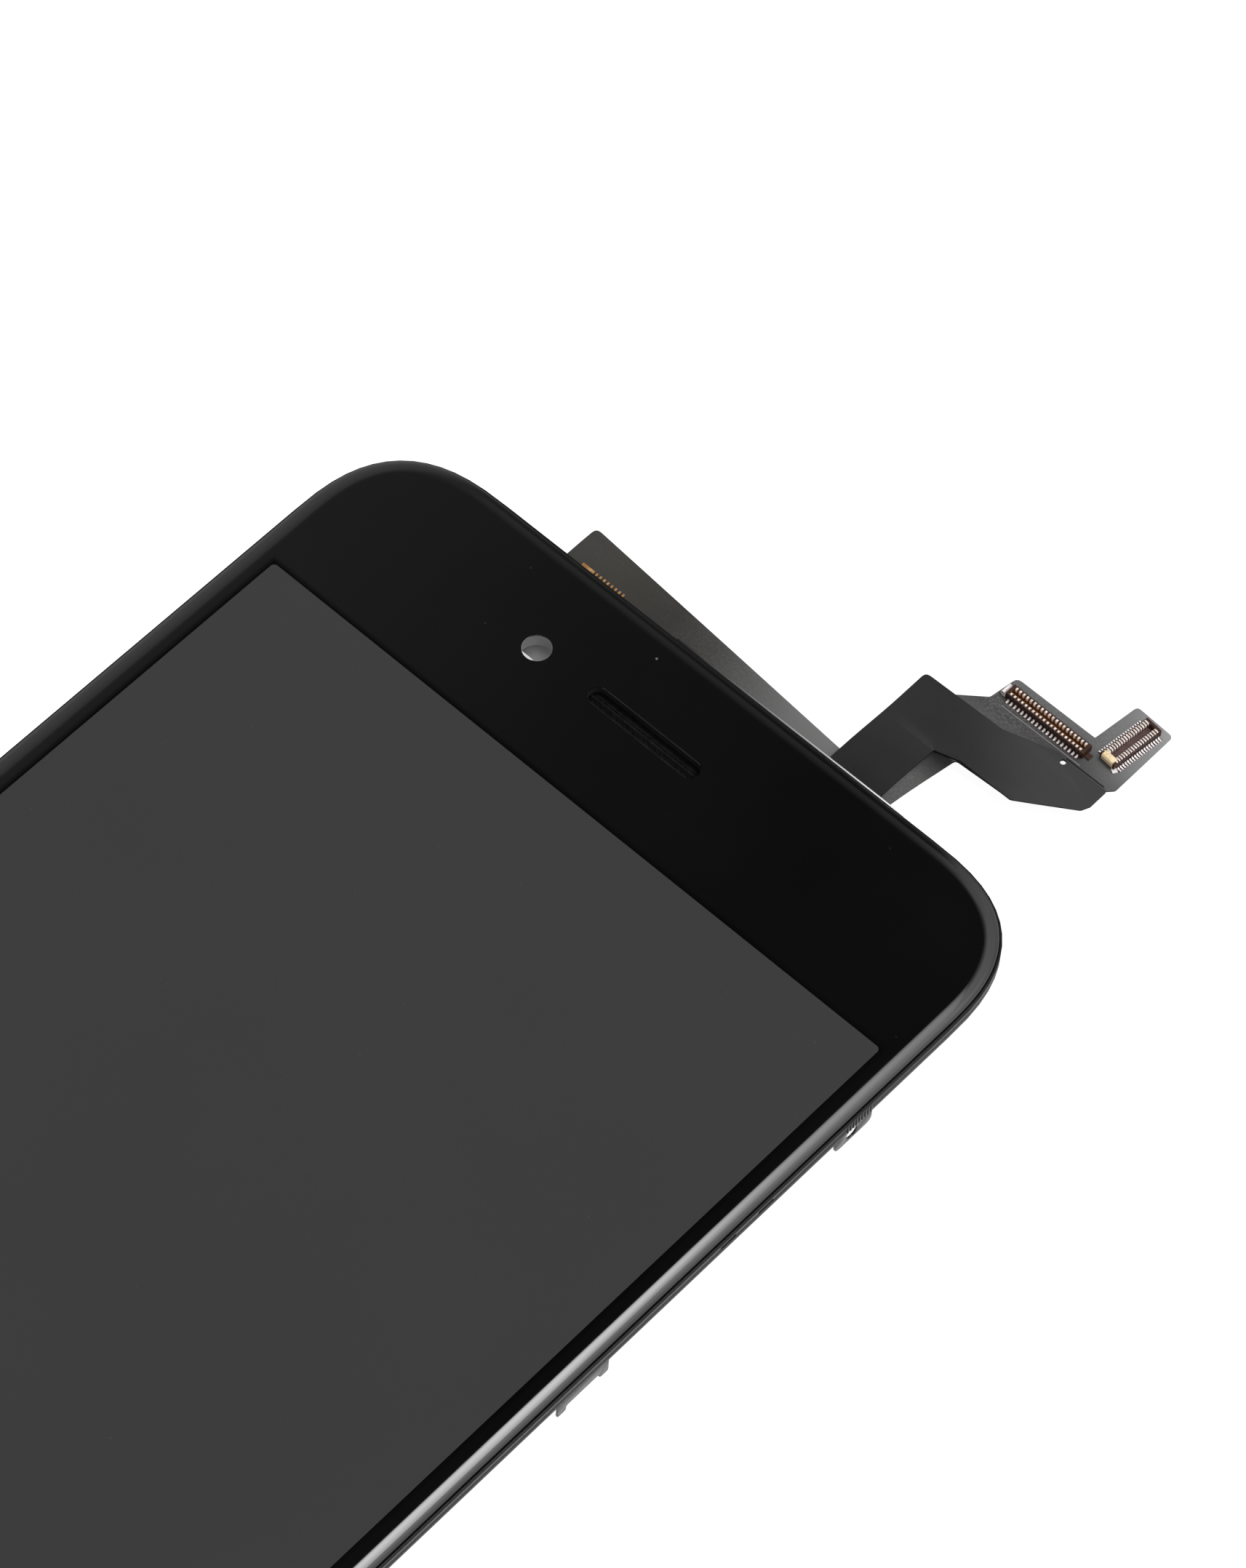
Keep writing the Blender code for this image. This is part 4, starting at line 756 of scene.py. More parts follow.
# Painted glint: the tiny sensor window is coloured light grey.
sensor_glint = polished("sensor_window_painted_glint", (0.12, 0.12, 0.125), (0.20, 0.20, 0.21))
# Painted light in the holes: their walls are coloured lighter against the shade inside, the slot's far
# edge is lighter as a painted highlight and its near edge darker as a painted shade.
painted_light_wall = grained("painted_light_wall", grey(0.014), grey(0.022), (0.5, 0.7)).set(Specular_IOR_Level=0.1)
painted_far_highlight = grained("slot_far_painted_highlight", grey(0.014), grey(0.030), (0.5, 0.7), cloud=1.2)
painted_far_highlight.set(Specular_IOR_Level=0.2)
painted_near_shade = grained("slot_near_painted_shade", grey(0.003), grey(0.006), (0.5, 0.7))
painted_near_shade.set(Specular_IOR_Level=0.0)
for finish in (
    glass_ink, glass_picture, glass_rim, glass_clear, sensor_glint, painted_light_wall, painted_far_highlight, painted_near_shade,
):
    pane_mesh.materials.append(finish.material)
add_piece("cover_pane", pane_mesh, "cover_glass", "cover_glass")
print("pane finishes:", len(pane_mesh.materials))

# %% [markdown]
# The print is on the back of the glass, and the eye looks down on it through 0.7 mm of glass. Its
# hole for the camera is therefore made a little wider here than the window drawn on the front, so
# that the window shows as one whole disc from the side too.

# %% Black print behind the glass
PRINT_HOLE = 1.50


def opened(node, name, radius):
    """A copy of a solid in which the hole behind the camera's window is at least this wide."""
    bm = bmesh.new()
    bm.from_mesh(solids[node].data)
    bmesh.ops.remove_doubles(bm, verts=bm.verts[:], dist=WELD)
    centre = Vector(CAMERA_WINDOW[:2])
    for vert in bm.verts:
        away = vert.co.xy / MM - centre
        if away.length < radius:
            vert.co.xy = (centre + away.normalized() * radius) * MM
    mesh = mesh_from(bm, name)
    mesh.materials.clear()
    return mesh


print_mesh = opened("ink_border", "black_sheet", PRINT_HOLE)
black_print = grained("black_print", grey(0.004), grey(0.008), (0.4, 0.6))
print_mesh.materials.append(black_print.material)
add_piece("black_sheet", print_mesh, "black_plastic", "ink_border")

# %% [markdown]
# ## The bezel frame and its clips
#
# The frame is a black moulding with a fine eggshell texture. A lip of it shows beside the glass,
# and a groove runs down its wall where the two halves of the mould met. The clips under it are
# punched from thin steel, with soft edges from the punch.

# %% Frame
frame_plastic = Finish("black_moulding").set(Specular_IOR_Level=0.12)
grain = frame_plastic.group(GRAIN, Cloud_Scale=0.4, Tooth_Scale=9.0)
frame_plastic.colour(frame_plastic.mix(grain["Clouds"], grey(0.003), grey(0.007)))
frame_plastic.surface(grain["Tooth"], (0.26, 0.40), 0.003)
softened("bezel_frame", "bezel", frame_plastic, "black_plastic", bevel=0.02, segments=1)

# %% [markdown]
# Along the top edge a painted highlight lies on the moulding's outer corner, brighter and brighter
# towards the right, and shows as one thin bright line. It is a sliver of its own here, so that
# its width can be set apart from the frame's.

# %% Painted highlight on the top edge
GLINT_LOW, GLINT_HIGH = (-4.0, 67.525, -0.74), (17.7, 67.64, -0.67)


def block(low, high, name="block"):
    """A closed box between two corners, in millimetres."""
    bm = bmesh.new()
    for vert in bmesh.ops.create_cube(bm, size=1)["verts"]:
        vert.co = [(high[i] if vert.co[i] > 0 else low[i]) * MM for i in range(3)]
    return mesh_from(bm, name)


# Painted highlight: the black sliver is coloured near white, more and more towards the right.
painted_edge_glint = Finish("painted_edge_glint").set(Specular_IOR_Level=0.2, Roughness=0.5)
along = painted_edge_glint.maths("POWER", painted_edge_glint.ramp(painted_edge_glint.axis("X"), -4, 18), 1.7)
glint_clouds = painted_edge_glint.group(GRAIN, Cloud_Scale=1.2, Tooth_Scale=7.0)["Clouds"]
pale = painted_edge_glint.mix(glint_clouds, grey(0.80), grey(0.98))
painted_edge_glint.colour(painted_edge_glint.mix(along, grey(0.006), pale))
edge_mesh = block(GLINT_LOW, GLINT_HIGH, "painted_edge_glint")
edge_mesh.materials.append(painted_edge_glint.material)
add_piece("painted_edge_glint", edge_mesh, "black_plastic")
print("painted_glint from", GLINT_LOW[0], "to", GLINT_HIGH[0], "mm")

# %% Clips, hooks and lugs
clip_steel = brushed(
    "stamped_steel", (0.03, 0.03, 0.031), (0.13, 0.13, 0.132), (0.20, 0.40), (5, 3, 9),
)
for node in sorted(solids):
    if node.startswith(("loop_clip", "bridge_clip", "top_hook", "screw_lug")):
        softened(node, node + "_steel", clip_steel, "steel", bevel=0.035)
print("steel finish:", clip_steel.material.name)

# %% [markdown]
# ## The flexible circuits
#
# Two circuits leave the panel under the top edge. The upper one is covered in matt black film.
# The lower one is bare grey-olive polyimide, on which the copper tracks show as fine lines, and
# it widens into a strip along the edge of the frame. Both end on a stiffened tab.

# %% Flexible circuits
STRIP_COLOURS = [
    (-15.5, (0.036, 0.034, 0.031)), (-11.5, (0.032, 0.030, 0.025)), (-6.0, (0.023, 0.021, 0.018)),
    (-2.0, (0.036, 0.035, 0.032)), (2.0, (0.075, 0.075, 0.074)), (6.0, (0.125, 0.125, 0.124)),
    (9.5, (0.135, 0.135, 0.134)), (12.0, (0.070, 0.070, 0.069)), (26.5, (0.060, 0.060, 0.060)),
]
BOARD_TONES = [(80.0, 0.045), (81.0, 0.065), (82.7, 0.115), (84.0, 0.135), (87.3, 0.19)]
PAINTED_SHADOW_AREA = (9.5, 18, 60, 77.5)
PAINTED_HIGHLIGHT_LINE, PAINTED_SHADOW_LINE = (15.9, 23.3, 80.55, 80.59), (22.2, 25.75, 80.30, 80.43)

black_film = Finish("matt_black_film").set(Specular_IOR_Level=0.15)
grain = black_film.group(GRAIN, Cloud_Scale=0.35, Tooth_Scale=12.0)
x, y = black_film.axis("X"), black_film.axis("Y")
outward = black_film.ramp(black_film.maths("ADD", x, y), 91, 101, smooth=True)
# Painted shade: the arm darkens towards the frame. The film also grows lighter towards the far end.
arm = black_film.mix(black_film.ramp(y, 74, 69), grey(0.014), grey(0.007))
ground = black_film.mix(outward, arm, grey(0.040))
cloudy = black_film.mix(grain["Clouds"], grey(0.006), grey(0.042))
black_film.colour(black_film.mix(0.2, ground, cloudy))
black_film.surface(grain["Tooth"], (0.50, 0.66), 0.005)


def within(finish, x0, x1, y0, y1, soft=0.03):
    """A mask that is one inside a rectangle, given in millimetres."""
    mask = None
    for letter, low, high in (("X", x0, x1), ("Y", y0, y1)):
        for start, end in ((low, low + soft), (high + soft, high)):
            side = finish.ramp(finish.axis(letter), start, end)
            mask = finish.maths("MULTIPLY", mask, side) if mask else side
    return mask


film = Finish("bare_circuit_film").set(Specular_IOR_Level=0.25)
grain = film.group(GRAIN, Cloud_Scale=0.22, Tooth_Scale=5.0)
x, y = film.axis("X"), film.axis("Y")
across = film.curve(x, STRIP_COLOURS)
# The tabs have their own tone with painted light on it: they grow lighter outward along Y and towards the
# right along X.
board = film.maths("MULTIPLY", film.curve(y, BOARD_TONES), film.ramp(x, 22.8, 26.2, first=0.85, last=1.45))
on_board = film.maths("MULTIPLY", film.ramp(y, 78.8, 80.0), film.ramp(x, 12, 14))
plain = film.mix(on_board, across, board)
speckle = film.ramp(grain["Tooth"], 0.40, 0.72)
speckle = film.maths("MULTIPLY", speckle, film.ramp(x, -6, 4, first=0.12, last=0.6))
brighter = film.mix(on_board, (0.15, 0.15, 0.147), (0.24, 0.235, 0.24))
paler = film.mix(speckle, plain, brighter)
mottled = film.mix(film.ramp(grain["Clouds"], 0.35, 0.85), plain, paler)
# Painted shadow: the film goes nearly black under the upper circuit's arm. Beside the tab a pale line is a
# painted highlight and a dark line a painted shadow.
under = film.maths("MULTIPLY", film.ramp(y, 71.3, 73.9), within(film, *PAINTED_SHADOW_AREA, 0.5))
coloured = film.mix(under, mottled, grey(0.003))
coloured = film.mix(within(film, *PAINTED_HIGHLIGHT_LINE), coloured, (0.33, 0.28, 0.30))
film.colour(film.mix(within(film, *PAINTED_SHADOW_LINE), coloured, grey(0.003)))
film.surface(grain["Tooth"], (0.38, 0.58), 0.006)
softened("display_flex", "upper_circuit", black_film, "dark_flex", bevel=0.025, segments=1)
softened("touch_flex", "lower_circuit", film, "grey_flex", bevel=0.02, segments=1)
print("circuits finished as", black_film.material.name, "and", film.material.name)

# %% [markdown]
# ## Connectors
#
# Each connector is a dark moulded body with rows of gilt contacts bent over its two walls. A
# contact shows twice, as a crown over the wall and as a foot beside it. All of one kind are alike,
# so Geometry Nodes repeat one pair of them along a line: a change of pitch or count is then one
# number. The result is made a plain mesh before it is placed.

# %% Geometry Nodes helpers
def row_tree():
    """Repeats the object's own mesh along X, evenly about the middle, with its finish on it."""
    tree, given, out = new_group(
        "row_of_parts",
        [("Geometry", "NodeSocketGeometry", None), ("Count", "NodeSocketInt", 10),
         ("Pitch", "NodeSocketFloat", 0.001), ("Finish", "NodeSocketMaterial", None)],
        [("Geometry", "NodeSocketGeometry")], "GeometryNodeTree",
    )
    graph = Graph(tree)
    count, pitch = given.outputs["Count"], given.outputs["Pitch"]
    run = graph.maths("MULTIPLY", graph.maths("SUBTRACT", count, 1), pitch)
    first, step = (graph.nodes.new("ShaderNodeCombineXYZ") for _ in range(2))
    graph.feed(first.inputs["X"], graph.maths("MULTIPLY", run, -0.5))
    graph.feed(step.inputs["X"], pitch)
    line = graph.nodes.new("GeometryNodeMeshLine")
    graph.feed(line.inputs["Count"], count)
    graph.feed(line.inputs["Start Location"], first.outputs[0])
    graph.feed(line.inputs["Offset"], step.outputs[0])
    put = graph.nodes.new("GeometryNodeInstanceOnPoints")
    graph.feed(put.inputs["Points"], line.outputs[0])
    graph.feed(put.inputs["Instance"], given.outputs["Geometry"])
    real = graph.nodes.new("GeometryNodeRealizeInstances")
    graph.feed(real.inputs[0], put.outputs[0])
    coat = graph.nodes.new("GeometryNodeSetMaterial")
    graph.feed(coat.inputs["Geometry"], real.outputs[0])
    graph.feed(coat.inputs["Material"], given.outputs["Finish"])
    graph.feed(out.inputs[0], coat.outputs[0])
    return tree


ROW = row_tree()


def row_of(name, seed_mesh, count, pitch, finish):
    """Runs the tree on the seed mesh, with the pitch in millimetres, and gives a plain mesh."""
    thing = bpy.data.objects.new(name + "_seed", seed_mesh)
    scene.collection.objects.link(thing)
    modifier = thing.modifiers.new("grow", "NODES")
    modifier.node_group = ROW
    values = {"Count": count, "Pitch": pitch * MM, "Finish": finish.material}
    for item in ROW.interface.items_tree:
        if item.item_type == "SOCKET" and item.in_out == "INPUT" and item.name in values:
            modifier[item.identifier] = values[item.name]
    made = baked(thing)
    made.name = name
    return made


print("tree of nodes:", ROW.name)

# %% Bent strips and the connector's body
CONN_H, CONN_FLOOR = 0.64, 0.18
CONN_END = 0.22
IN_CHANNEL, BETWEEN_ENDS = (3, 4, 5), (1, 2, 3)
CONTACT_T = 0.05


def skin(bm, rings):
    """Walls between neighbouring rings and a cap on each end. Gives the walls, ring by ring."""
    walls = []
    for one, two in zip(rings, rings[1:]):
        walls.append([
            bm.faces.new((one[i - 1], one[i], two[i], two[i - 1])) for i in range(len(one))
        ])
    bm.faces.new(rings[0])
    bm.faces.new(rings[-1])
    return walls


def bent_strip(bm, path, width, mirror, thick):
    """Sheet metal bent along a path of (across, up) points, with its width along X."""
    rings = []
    for i, (u, z) in enumerate(path):
        ahead = (Vector(path[min(i + 1, len(path) - 1)]) - Vector(path[max(i - 1, 0)])).normalized()
        across = Vector((-ahead.y, ahead.x)) * thick / 2
        ring = []
        for x, side in ((-1, 1), (1, 1), (1, -1), (-1, -1)):
            spot = Vector((u, z)) + across * side
            ring.append(bm.verts.new((x * width / 2 * MM, spot.x * mirror * MM, spot.y * MM)))
        rings.append(ring)
    skin(bm, rings)


def strips(name, path, width, mirrors=(1, -1), thick=CONTACT_T):
    bm = bmesh.new()
    for mirror in mirrors:
        bent_strip(bm, path, width, mirror, thick)
    bmesh.ops.recalc_face_normals(bm, faces=bm.faces[:])
    return mesh_from(bm, name)


def crown_path(channel, out):
    """The part of a contact that shows on a wall: over its crown and down into the channel."""
    h = CONN_H
    return [
        (out, h - 0.02), (out - 0.04, h + 0.03), (channel + 0.04, h + 0.03),
        (channel - 0.02, h - 0.04), (channel - 0.03, h - 0.26),
    ]


def foot_path(near, far):
    """The part that comes out of the wall again and lies on the board."""
    return [(near, 0.17), (near + 0.04, 0.07), (near + 0.10, 0.03), (far, 0.03)]


def connector_body(length, w, g):
    """The moulded body: two walls, a channel between them and closed ends."""
    h, f = CONN_H, CONN_FLOOR
    bm = bmesh.new()
    half = length / 2
    trough = [(-w, 0), (-w, h), (-g, h), (-g, f), (g, f), (g, h), (w, h), (w, 0)]
    block = [(-w, 0), (-w, h), (-g, h), (-g, h), (g, h), (g, h), (w, h), (w, 0)]
    rings = []
    for x, section in ((-half, block), (-half + CONN_END, block), (-half + CONN_END, trough),
                       (half - CONN_END, trough), (half - CONN_END, block), (half, block)):
        rings.append([bm.verts.new((x * MM, u * MM, z * MM)) for u, z in section])
    walls = skin(bm, rings)
    for pair in BETWEEN_ENDS:
        for i in IN_CHANNEL:
            walls[pair][i].material_index = 1
    bmesh.ops.remove_doubles(bm, verts=bm.verts[:], dist=WELD)
    bmesh.ops.dissolve_degenerate(bm, edges=bm.edges[:], dist=WELD / 10)
    bmesh.ops.recalc_face_normals(bm, faces=bm.faces[:])
    return mesh_from(bm, "connector_body")


def plated(name, dark, pale):
    """Thin bright plating, partly a mirror and partly a plain colour."""
    return brushed(name, dark, pale, (0.25, 0.40), (6, 6, 6), depth=0.002, metallic=0.4)


gilt = plated("gilt_contact", (0.95, 0.76, 0.64), (1.0, 0.92, 0.85))
gilt_bright = plated("bright_gilt", (0.92, 0.66, 0.36), (1.0, 0.86, 0.60))
gilt_pale = plated("pale_gilt_contact", (0.66, 0.56, 0.50), (0.90, 0.82, 0.78))
gilt_warm = plated("warm_gilt_pad", (0.36, 0.17, 0.045), (0.60, 0.33, 0.13))
# Painted highlight: the feet, one hold-down and the end foot are plated near white.
highlight_plating = plated("contact_painted_highlight", (0.90, 0.83, 0.82), (1.0, 0.97, 0.97))
amber = grained(
    "amber_moulding", (0.10, 0.034, 0.006), (0.24, 0.085, 0.016), (0.3, 0.5), cloud=1.5, tooth=14,
)
maroon = grained(
    "maroon_moulding", (0.050, 0.022, 0.018), (0.095, 0.048, 0.040), (0.3, 0.5), cloud=1.5, tooth=14,
)
dark_moulding = grained(
    "dark_moulding", (0.024, 0.009, 0.005), (0.050, 0.019, 0.010), (0.4, 0.55), cloud=1.5, tooth=14,
)
dark_moulding.set(Specular_IOR_Level=0.25)
print("contacts stand up to", CONN_H, "mm above the board")

# %% Place the connectors
CONNECTOR_FOOT = -2.58
BASE_IN, BASE_SHORT, BASE_T = 0.2, 0.03, 0.012
CONNECTORS = {
    1: {"turn": -1.0, "shift": 0.05, "count": 20, "pitch": 0.35, "walls": (0.50, 0.22),
        "crown": 0.40, "foot": (0.55, 0.82), "thin": 0.46, "body": amber, "crowns": gilt,
        "feet": highlight_plating},
    2: {"turn": 83.8, "shift": 0.0, "count": 18, "pitch": 0.235, "walls": (0.74, 0.32),
        "crown": 0.68, "foot": (0.80, 1.14), "thin": 0.54, "body": maroon, "crowns": gilt_pale,
        "feet": highlight_plating},
}


def middle_of(node):
    """The middle of a solid's box, in millimetres."""
    low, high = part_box(node)
    return (low + high) / 2 / MM


def placed(x, y, z=0.0, turn=0.0):
    """A place in millimetres and a turn about Z in degrees, as one matrix."""
    return Matrix.Translation(Vector((x, y, z)) * MM) @ Matrix.Rotation(math.radians(turn), 4, "Z")


for number, facts in CONNECTORS.items():
    stem = f"connector_{number}"
    ends = [middle_of(f"{stem}_hold_down_{end}") for end in "ab"]
    centre = (ends[0] + ends[1]) / 2
    place = placed(*centre.xy, CONNECTOR_FOOT, facts["turn"]) @ placed(0, facts["shift"])
    half_w, channel = facts["walls"]
    length = facts["count"] * facts["pitch"] + 2 * CONN_END
    reach_x, reach_y = length / 2 - BASE_IN, facts["foot"][1] - BASE_SHORT
    base = block((-reach_x, -reach_y, 0.0), (reach_x, reach_y, BASE_T), stem + "_base")
    base.transform(place)
    base.materials.append(dark_moulding.material)
    add_piece(stem + "_base", base, "connector_plastic")
    body = connector_body(length, half_w, channel)
    body.transform(place)
    body.materials.append(dark_moulding.material)
    body.materials.append(facts["body"].material)
    add_piece(stem + "_body", body, "connector_plastic", stem)
    for label, path in (
        ("crowns", crown_path(channel, facts["crown"])), ("feet", foot_path(*facts["foot"])),
    ):
        pair = strips(label, path, facts["pitch"] * facts["thin"])
        row = row_of(f"{stem}_{label}", pair, facts["count"], facts["pitch"], facts[label])
        row.transform(place)
        add_piece(f"{stem}_{label}", row, "gold")
    print(stem, "contacts:", facts["count"] * 2)

# %% [markdown]
# Two of the four hold-downs show as bent sheet: a curl at the left end of the first connector and
# a gilt hood at the lower end of the second. The other two are flat feet that lie on the board.
# One more small foot lies at the second connector's end.

# %% Hold-downs
CURL = [
    (-0.20, 0.04), (0.06, 0.04), (0.19, 0.14), (0.20, 0.32), (0.10, 0.46), (-0.06, 0.46),
    (-0.15, 0.34), (-0.10, 0.24),
]
HOOD = [(-0.27, 0.20), (-0.28, 0.58), (-0.20, 0.69), (0.24, 0.70)]
FLAT = [(-0.20, 0.04), (0.20, 0.04)]
HOLD_DOWNS = [
    ("connector_1_hold_down_a", CURL, 0.86, 89.0, 0.0, highlight_plating),
    ("connector_1_hold_down_b", FLAT, 0.50, 89.0, 0.0, dark_moulding),
    ("connector_2_hold_down_a", HOOD, 1.10, -6.2, 0.45, gilt_bright),
    ("connector_2_hold_down_b", FLAT, 0.70, -6.2, -0.15, dark_moulding),
]
SHEET_T = 0.07
END_FOOT_AT, END_FOOT_TURN = (25.40, 81.95), -30
END_FOOT_W, END_FOOT_T = 0.42, 0.09
for node, path, width, turn, inward, finish in HOLD_DOWNS:
    mesh = strips(node, path, width, mirrors=(1,), thick=SHEET_T)
    mesh.transform(placed(*middle_of(node).xy, CONNECTOR_FOOT, turn) @ placed(0, inward))
    mesh.materials.append(finish.material)
    add_piece(node + "_sheet", mesh, "gold", node)
end_foot = strips("connector_2_end_foot", FLAT, END_FOOT_W, mirrors=(1,), thick=END_FOOT_T)
end_foot.transform(placed(*END_FOOT_AT, CONNECTOR_FOOT, END_FOOT_TURN))
end_foot.materials.append(highlight_plating.material)
add_piece("connector_2_end_foot", end_foot, "gold")
print("hold-downs:", len(HOLD_DOWNS))

# %% [markdown]
# Above each upper clip the wall of the frame carries a short patch of fine ribs. They are alike
# and evenly spaced, so the same tree of nodes makes them, once for each side.

# %% Ribs beside the upper clips
RIB_COUNT, RIB_PITCH = 9, 0.30
RIB_LOW, RIB_HIGH = (-0.055, -0.03, -1.78), (0.055, 0.05, -0.98)
RIB_MIDDLE_Y = 47.3
# Painted highlight: the ribs are coloured much lighter than the black moulding they belong to.
rib_highlight = grained("rib_painted_highlight", grey(0.05), grey(0.09), (0.4, 0.6), cloud=1.2)
for side, name in ((1, "ribs_right"), (-1, "ribs_left")):
    ribs = row_of(name, block(RIB_LOW, RIB_HIGH), RIB_COUNT, RIB_PITCH, rib_highlight)
    ribs.transform(placed(side * HALF_W, RIB_MIDDLE_Y, turn=-90 * side))
    add_piece(name, ribs, "black_plastic")
print("ribs:", 2 * RIB_COUNT)

# %% [markdown]
# ## Earpiece screen
#
# The slot in the glass is closed by a screen of fine black wire over a black cloth. The wires are
# wavy and alike, so the same tree of nodes repeats them. Two sets, half a wave apart, lie side by
# side along the slot. Shorter ones overlap in one line along its middle and look like a seam.

# %% Wire screen
MESH_PITCH = 0.26
WIRE_R = 0.038
WIRE_SIDES = 5
WIRE_END = 0.05
CLOTH_T = 0.012


def wavy_wire(length, pitch, along, phase):
    """One wire whose height swings over and under a level."""
    steps = int(round(length / pitch)) * 4
    bm = bmesh.new()
    rings = []
    for i in range(steps + 1):
        u = -length / 2 + length * i / steps
        z = WIRE_R * 0.9 * math.cos(math.pi * u / pitch + phase)
        ring = []
        for side in range(WIRE_SIDES):
            t = 2 * math.pi * side / WIRE_SIDES
            a, b = WIRE_R * math.cos(t), WIRE_R * math.sin(t)
            spot = (u, a, z + b) if along == "X" else (a, u, z + b)
            ring.append(bm.verts.new([c * MM for c in spot]))
        rings.append(ring)
    skin(bm, rings)
    bmesh.ops.recalc_face_normals(bm, faces=bm.faces[:])
    mesh = mesh_from(bm, "wire")
    mesh.shade_smooth()
    return mesh


low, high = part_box("earpiece_mesh")
screen_l, screen_w, screen_t = (high - low) / MM
wire_black = grained(
    "blackened_wire", grey(0.004), grey(0.012), (0.55, 0.75), cloud=2, tooth=9,
).set(Specular_IOR_Level=0.08)
joined = bmesh.new()
for along, length, width in (("X", screen_l, screen_w), ("Y", screen_w, screen_l)):
    count = int(width / MESH_PITCH / 2)
    for half_turn in (0, 1):
        phase = half_turn * math.pi + (0 if along == "X" else math.pi)
        aside = (half_turn - 0.5) * MESH_PITCH
        wire = wavy_wire(length - WIRE_END, MESH_PITCH, along, phase)
        wire.transform(placed(0, 0, turn=90 if along == "X" else -90))
        rows = row_of("wires", wire, count, 2 * MESH_PITCH, wire_black)
        rows.transform(placed(0, aside, turn=-90) if along == "X" else placed(aside, 0))
        joined.from_mesh(rows)
corner = (screen_l / 2, screen_w / 2, CLOTH_T - screen_t / 2)
joined.from_mesh(block((-corner[0], -corner[1], -screen_t / 2), corner, "cloth"))
screen = mesh_from(joined, "earpiece_screen")
screen.materials.append(wire_black.material)
screen.transform(placed(*middle_of("earpiece_mesh")))
add_piece("earpiece_screen", screen, "mesh_metal", "earpiece_mesh")
print("screen:", len(screen.polygons), "faces")

# %% [markdown]
# ## The camera window's dust film
#
# Behind the window a short ring centres the housing's camera, and a grey film closes the ring
# until the assembly is fitted. A notch in the film lets it be peeled off, and the floor shows
# through it as one bright fleck at the lower rim of the window.

# %% Dust film
FILM_R, FILM_STEPS = 1.70, 48
RING_BORE = 1.34
NOTCH = (-1.36, -0.28, -0.98, -0.04)


def notched_disc(node, name):
    """A disc as thick as the solid, with a square notch at a place beside its middle."""
    low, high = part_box(node)
    x, y = middle_of(node).xy
    x0, x1, y0, y1 = NOTCH
    corners = [(x + x0, y + y0), (x + x1, y + y0), (x + x1, y + y1), (x + x0, y + y1)]
    loft = Loft()
    pairs = []
    for z in (low.z / MM, high.z / MM):
        pairs.append([loft.loop(circle(x, y, FILM_R, FILM_STEPS), z), loft.loop(corners, z)])
        loft.fill(pairs[-1], 0)
    for one, two in zip(*pairs):
        loft.wall(one, two, 0)
    return loft.mesh(name)


dust_film = Finish("grey_dust_film").set(Specular_IOR_Level=0.3)
grain = dust_film.group(GRAIN, Cloud_Scale=1.4, Tooth_Scale=9.0)
# Painted light: the film is lightened towards +X, against the shade that the ring casts there.
film_painted_light = dust_film.ramp(dust_film.axis("X"), -11.6, -9.4)
ground = dust_film.mix(film_painted_light, (0.20, 0.198, 0.20), (0.95, 0.935, 0.945))
cloudy = dust_film.mix(grain["Clouds"], grey(0.12), grey(0.75))
dust_film.colour(dust_film.mix(0.25, ground, cloudy))
dust_film.surface(grain["Tooth"], (0.3, 0.5), 0.004)
film_mesh = notched_disc("camera_film", "dust_film")
film_mesh.materials.append(dust_film.material)
add_piece("dust_film", film_mesh, "film", "camera_film")
ring_alloy = grained("ring_alloy", (0.62, 0.62, 0.622), (0.80, 0.80, 0.802), (0.3, 0.45), metallic=0.2)
ring_mesh = opened("camera_ring", "window_ring", RING_BORE)
ring_mesh.materials.append(ring_alloy.material)
add_piece("window_ring", ring_mesh, "steel", "camera_ring")
print("film and ring: within", FILM_R, "mm of the window's middle")

# %% [markdown]
# ## Everything inside and behind
#
# The layers between the glass and the tray are seen only at their edges, and from the back the
# tray, the pressure plate and the graphite sheet show. Each still gets the finish that the real
# layer has, because the part may be looked at from any side.

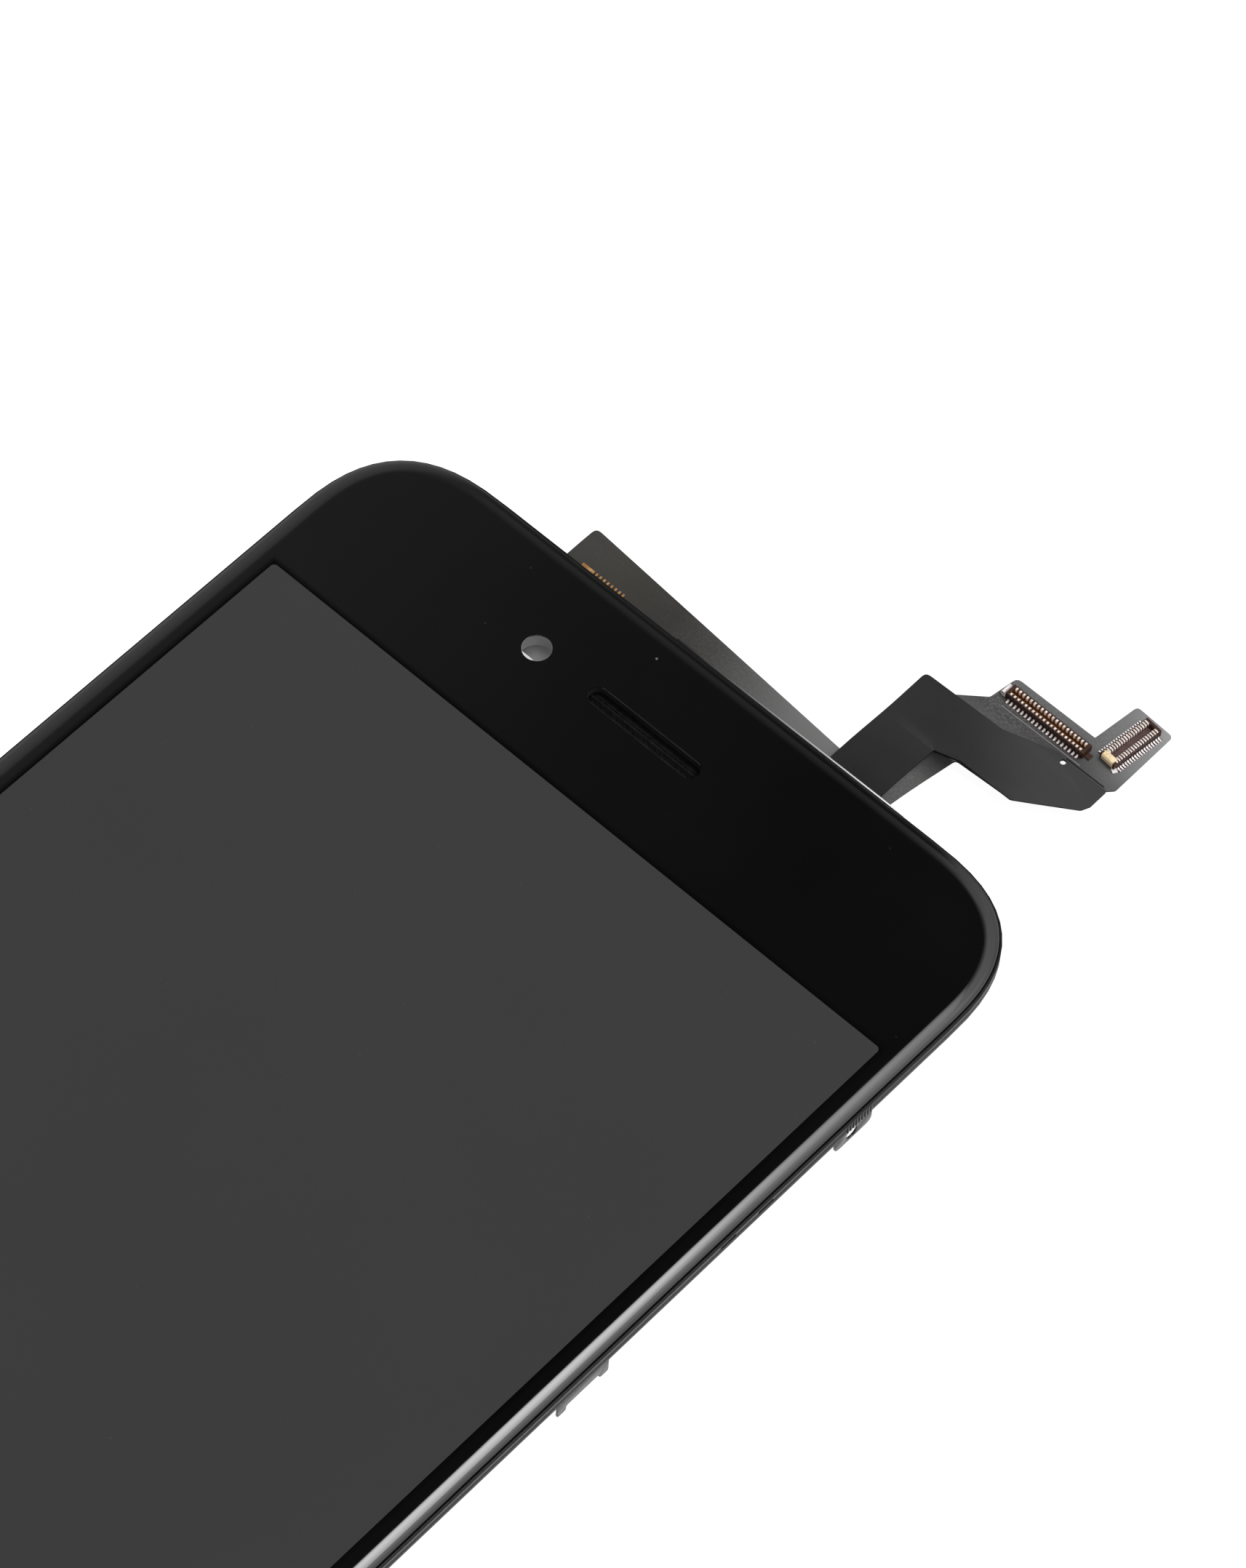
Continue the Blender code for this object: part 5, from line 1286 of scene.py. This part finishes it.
# %% Inner layers and back
clear_sheet = grained("cured_adhesive", (0.55, 0.57, 0.58), (0.62, 0.64, 0.65), (0.08, 0.14))
panel_glass = grained("panel_glass", (0.030, 0.034, 0.036), (0.042, 0.046, 0.050), (0.04, 0.08))
film_sheet = grained("light_film", (0.60, 0.62, 0.62), (0.72, 0.74, 0.74), (0.2, 0.35), tooth=16)
guide_clear = grained("light_guide_resin", (0.70, 0.74, 0.74), (0.78, 0.82, 0.82), (0.06, 0.12))
mirror_film = brushed("mirror_film", (0.80, 0.80, 0.81), (0.92, 0.92, 0.93), (0.08, 0.16), (3, 20, 3))
white_mould = grained("white_moulding", (0.62, 0.62, 0.60), (0.74, 0.74, 0.72), (0.35, 0.5))
silicon = grained("driver_silicon", (0.05, 0.05, 0.06), (0.09, 0.09, 0.11), (0.15, 0.25), tooth=20)
tray_steel = brushed("tray_steel", (0.42, 0.42, 0.43), (0.60, 0.60, 0.61), (0.22, 0.38), (1.2, 20, 5))
plate_alloy = brushed("plate_alloy", (0.26, 0.26, 0.27), (0.40, 0.40, 0.41), (0.30, 0.46), (24, 1.0, 5))
graphite = grained("graphite_sheet", (0.012, 0.012, 0.013), (0.030, 0.030, 0.032), (0.32, 0.5), tooth=18)
soft_rubber = grained("soft_rubber", (0.014, 0.014, 0.014), (0.022, 0.022, 0.022), (0.6, 0.8), tooth=10)
tape_foam = grained("foam_tape", (0.016, 0.016, 0.016), (0.030, 0.030, 0.030), (0.7, 0.9), tooth=7)

FINISHES = {
    "optical_adhesive": clear_sheet, "front_polarizer": panel_glass,
    "colour_filter_glass": panel_glass, "array_glass": panel_glass, "driver_chip": silicon,
    "rear_polarizer": panel_glass, "prism_film": film_sheet, "diffuser_film": film_sheet,
    "light_guide": guide_clear, "reflector_film": mirror_film, "light_frame": white_mould,
    "lamp_bar": white_mould, "backlight_tray": tray_steel, "pressure_plate": plate_alloy,
    "graphite_sheet": graphite, "earpiece_holder": soft_rubber,
    "sensor_holder": frame_plastic, "button_gasket": soft_rubber,
    "flex_tape": tape_foam, "tab_stiffener": plate_alloy, "contact_row": gilt_warm,
}
for node, finish in FINISHES.items():
    mesh = solids[node].data
    mesh.materials.clear()
    mesh.materials.append(finish.material)
print("finished solids:", len(FINISHES))
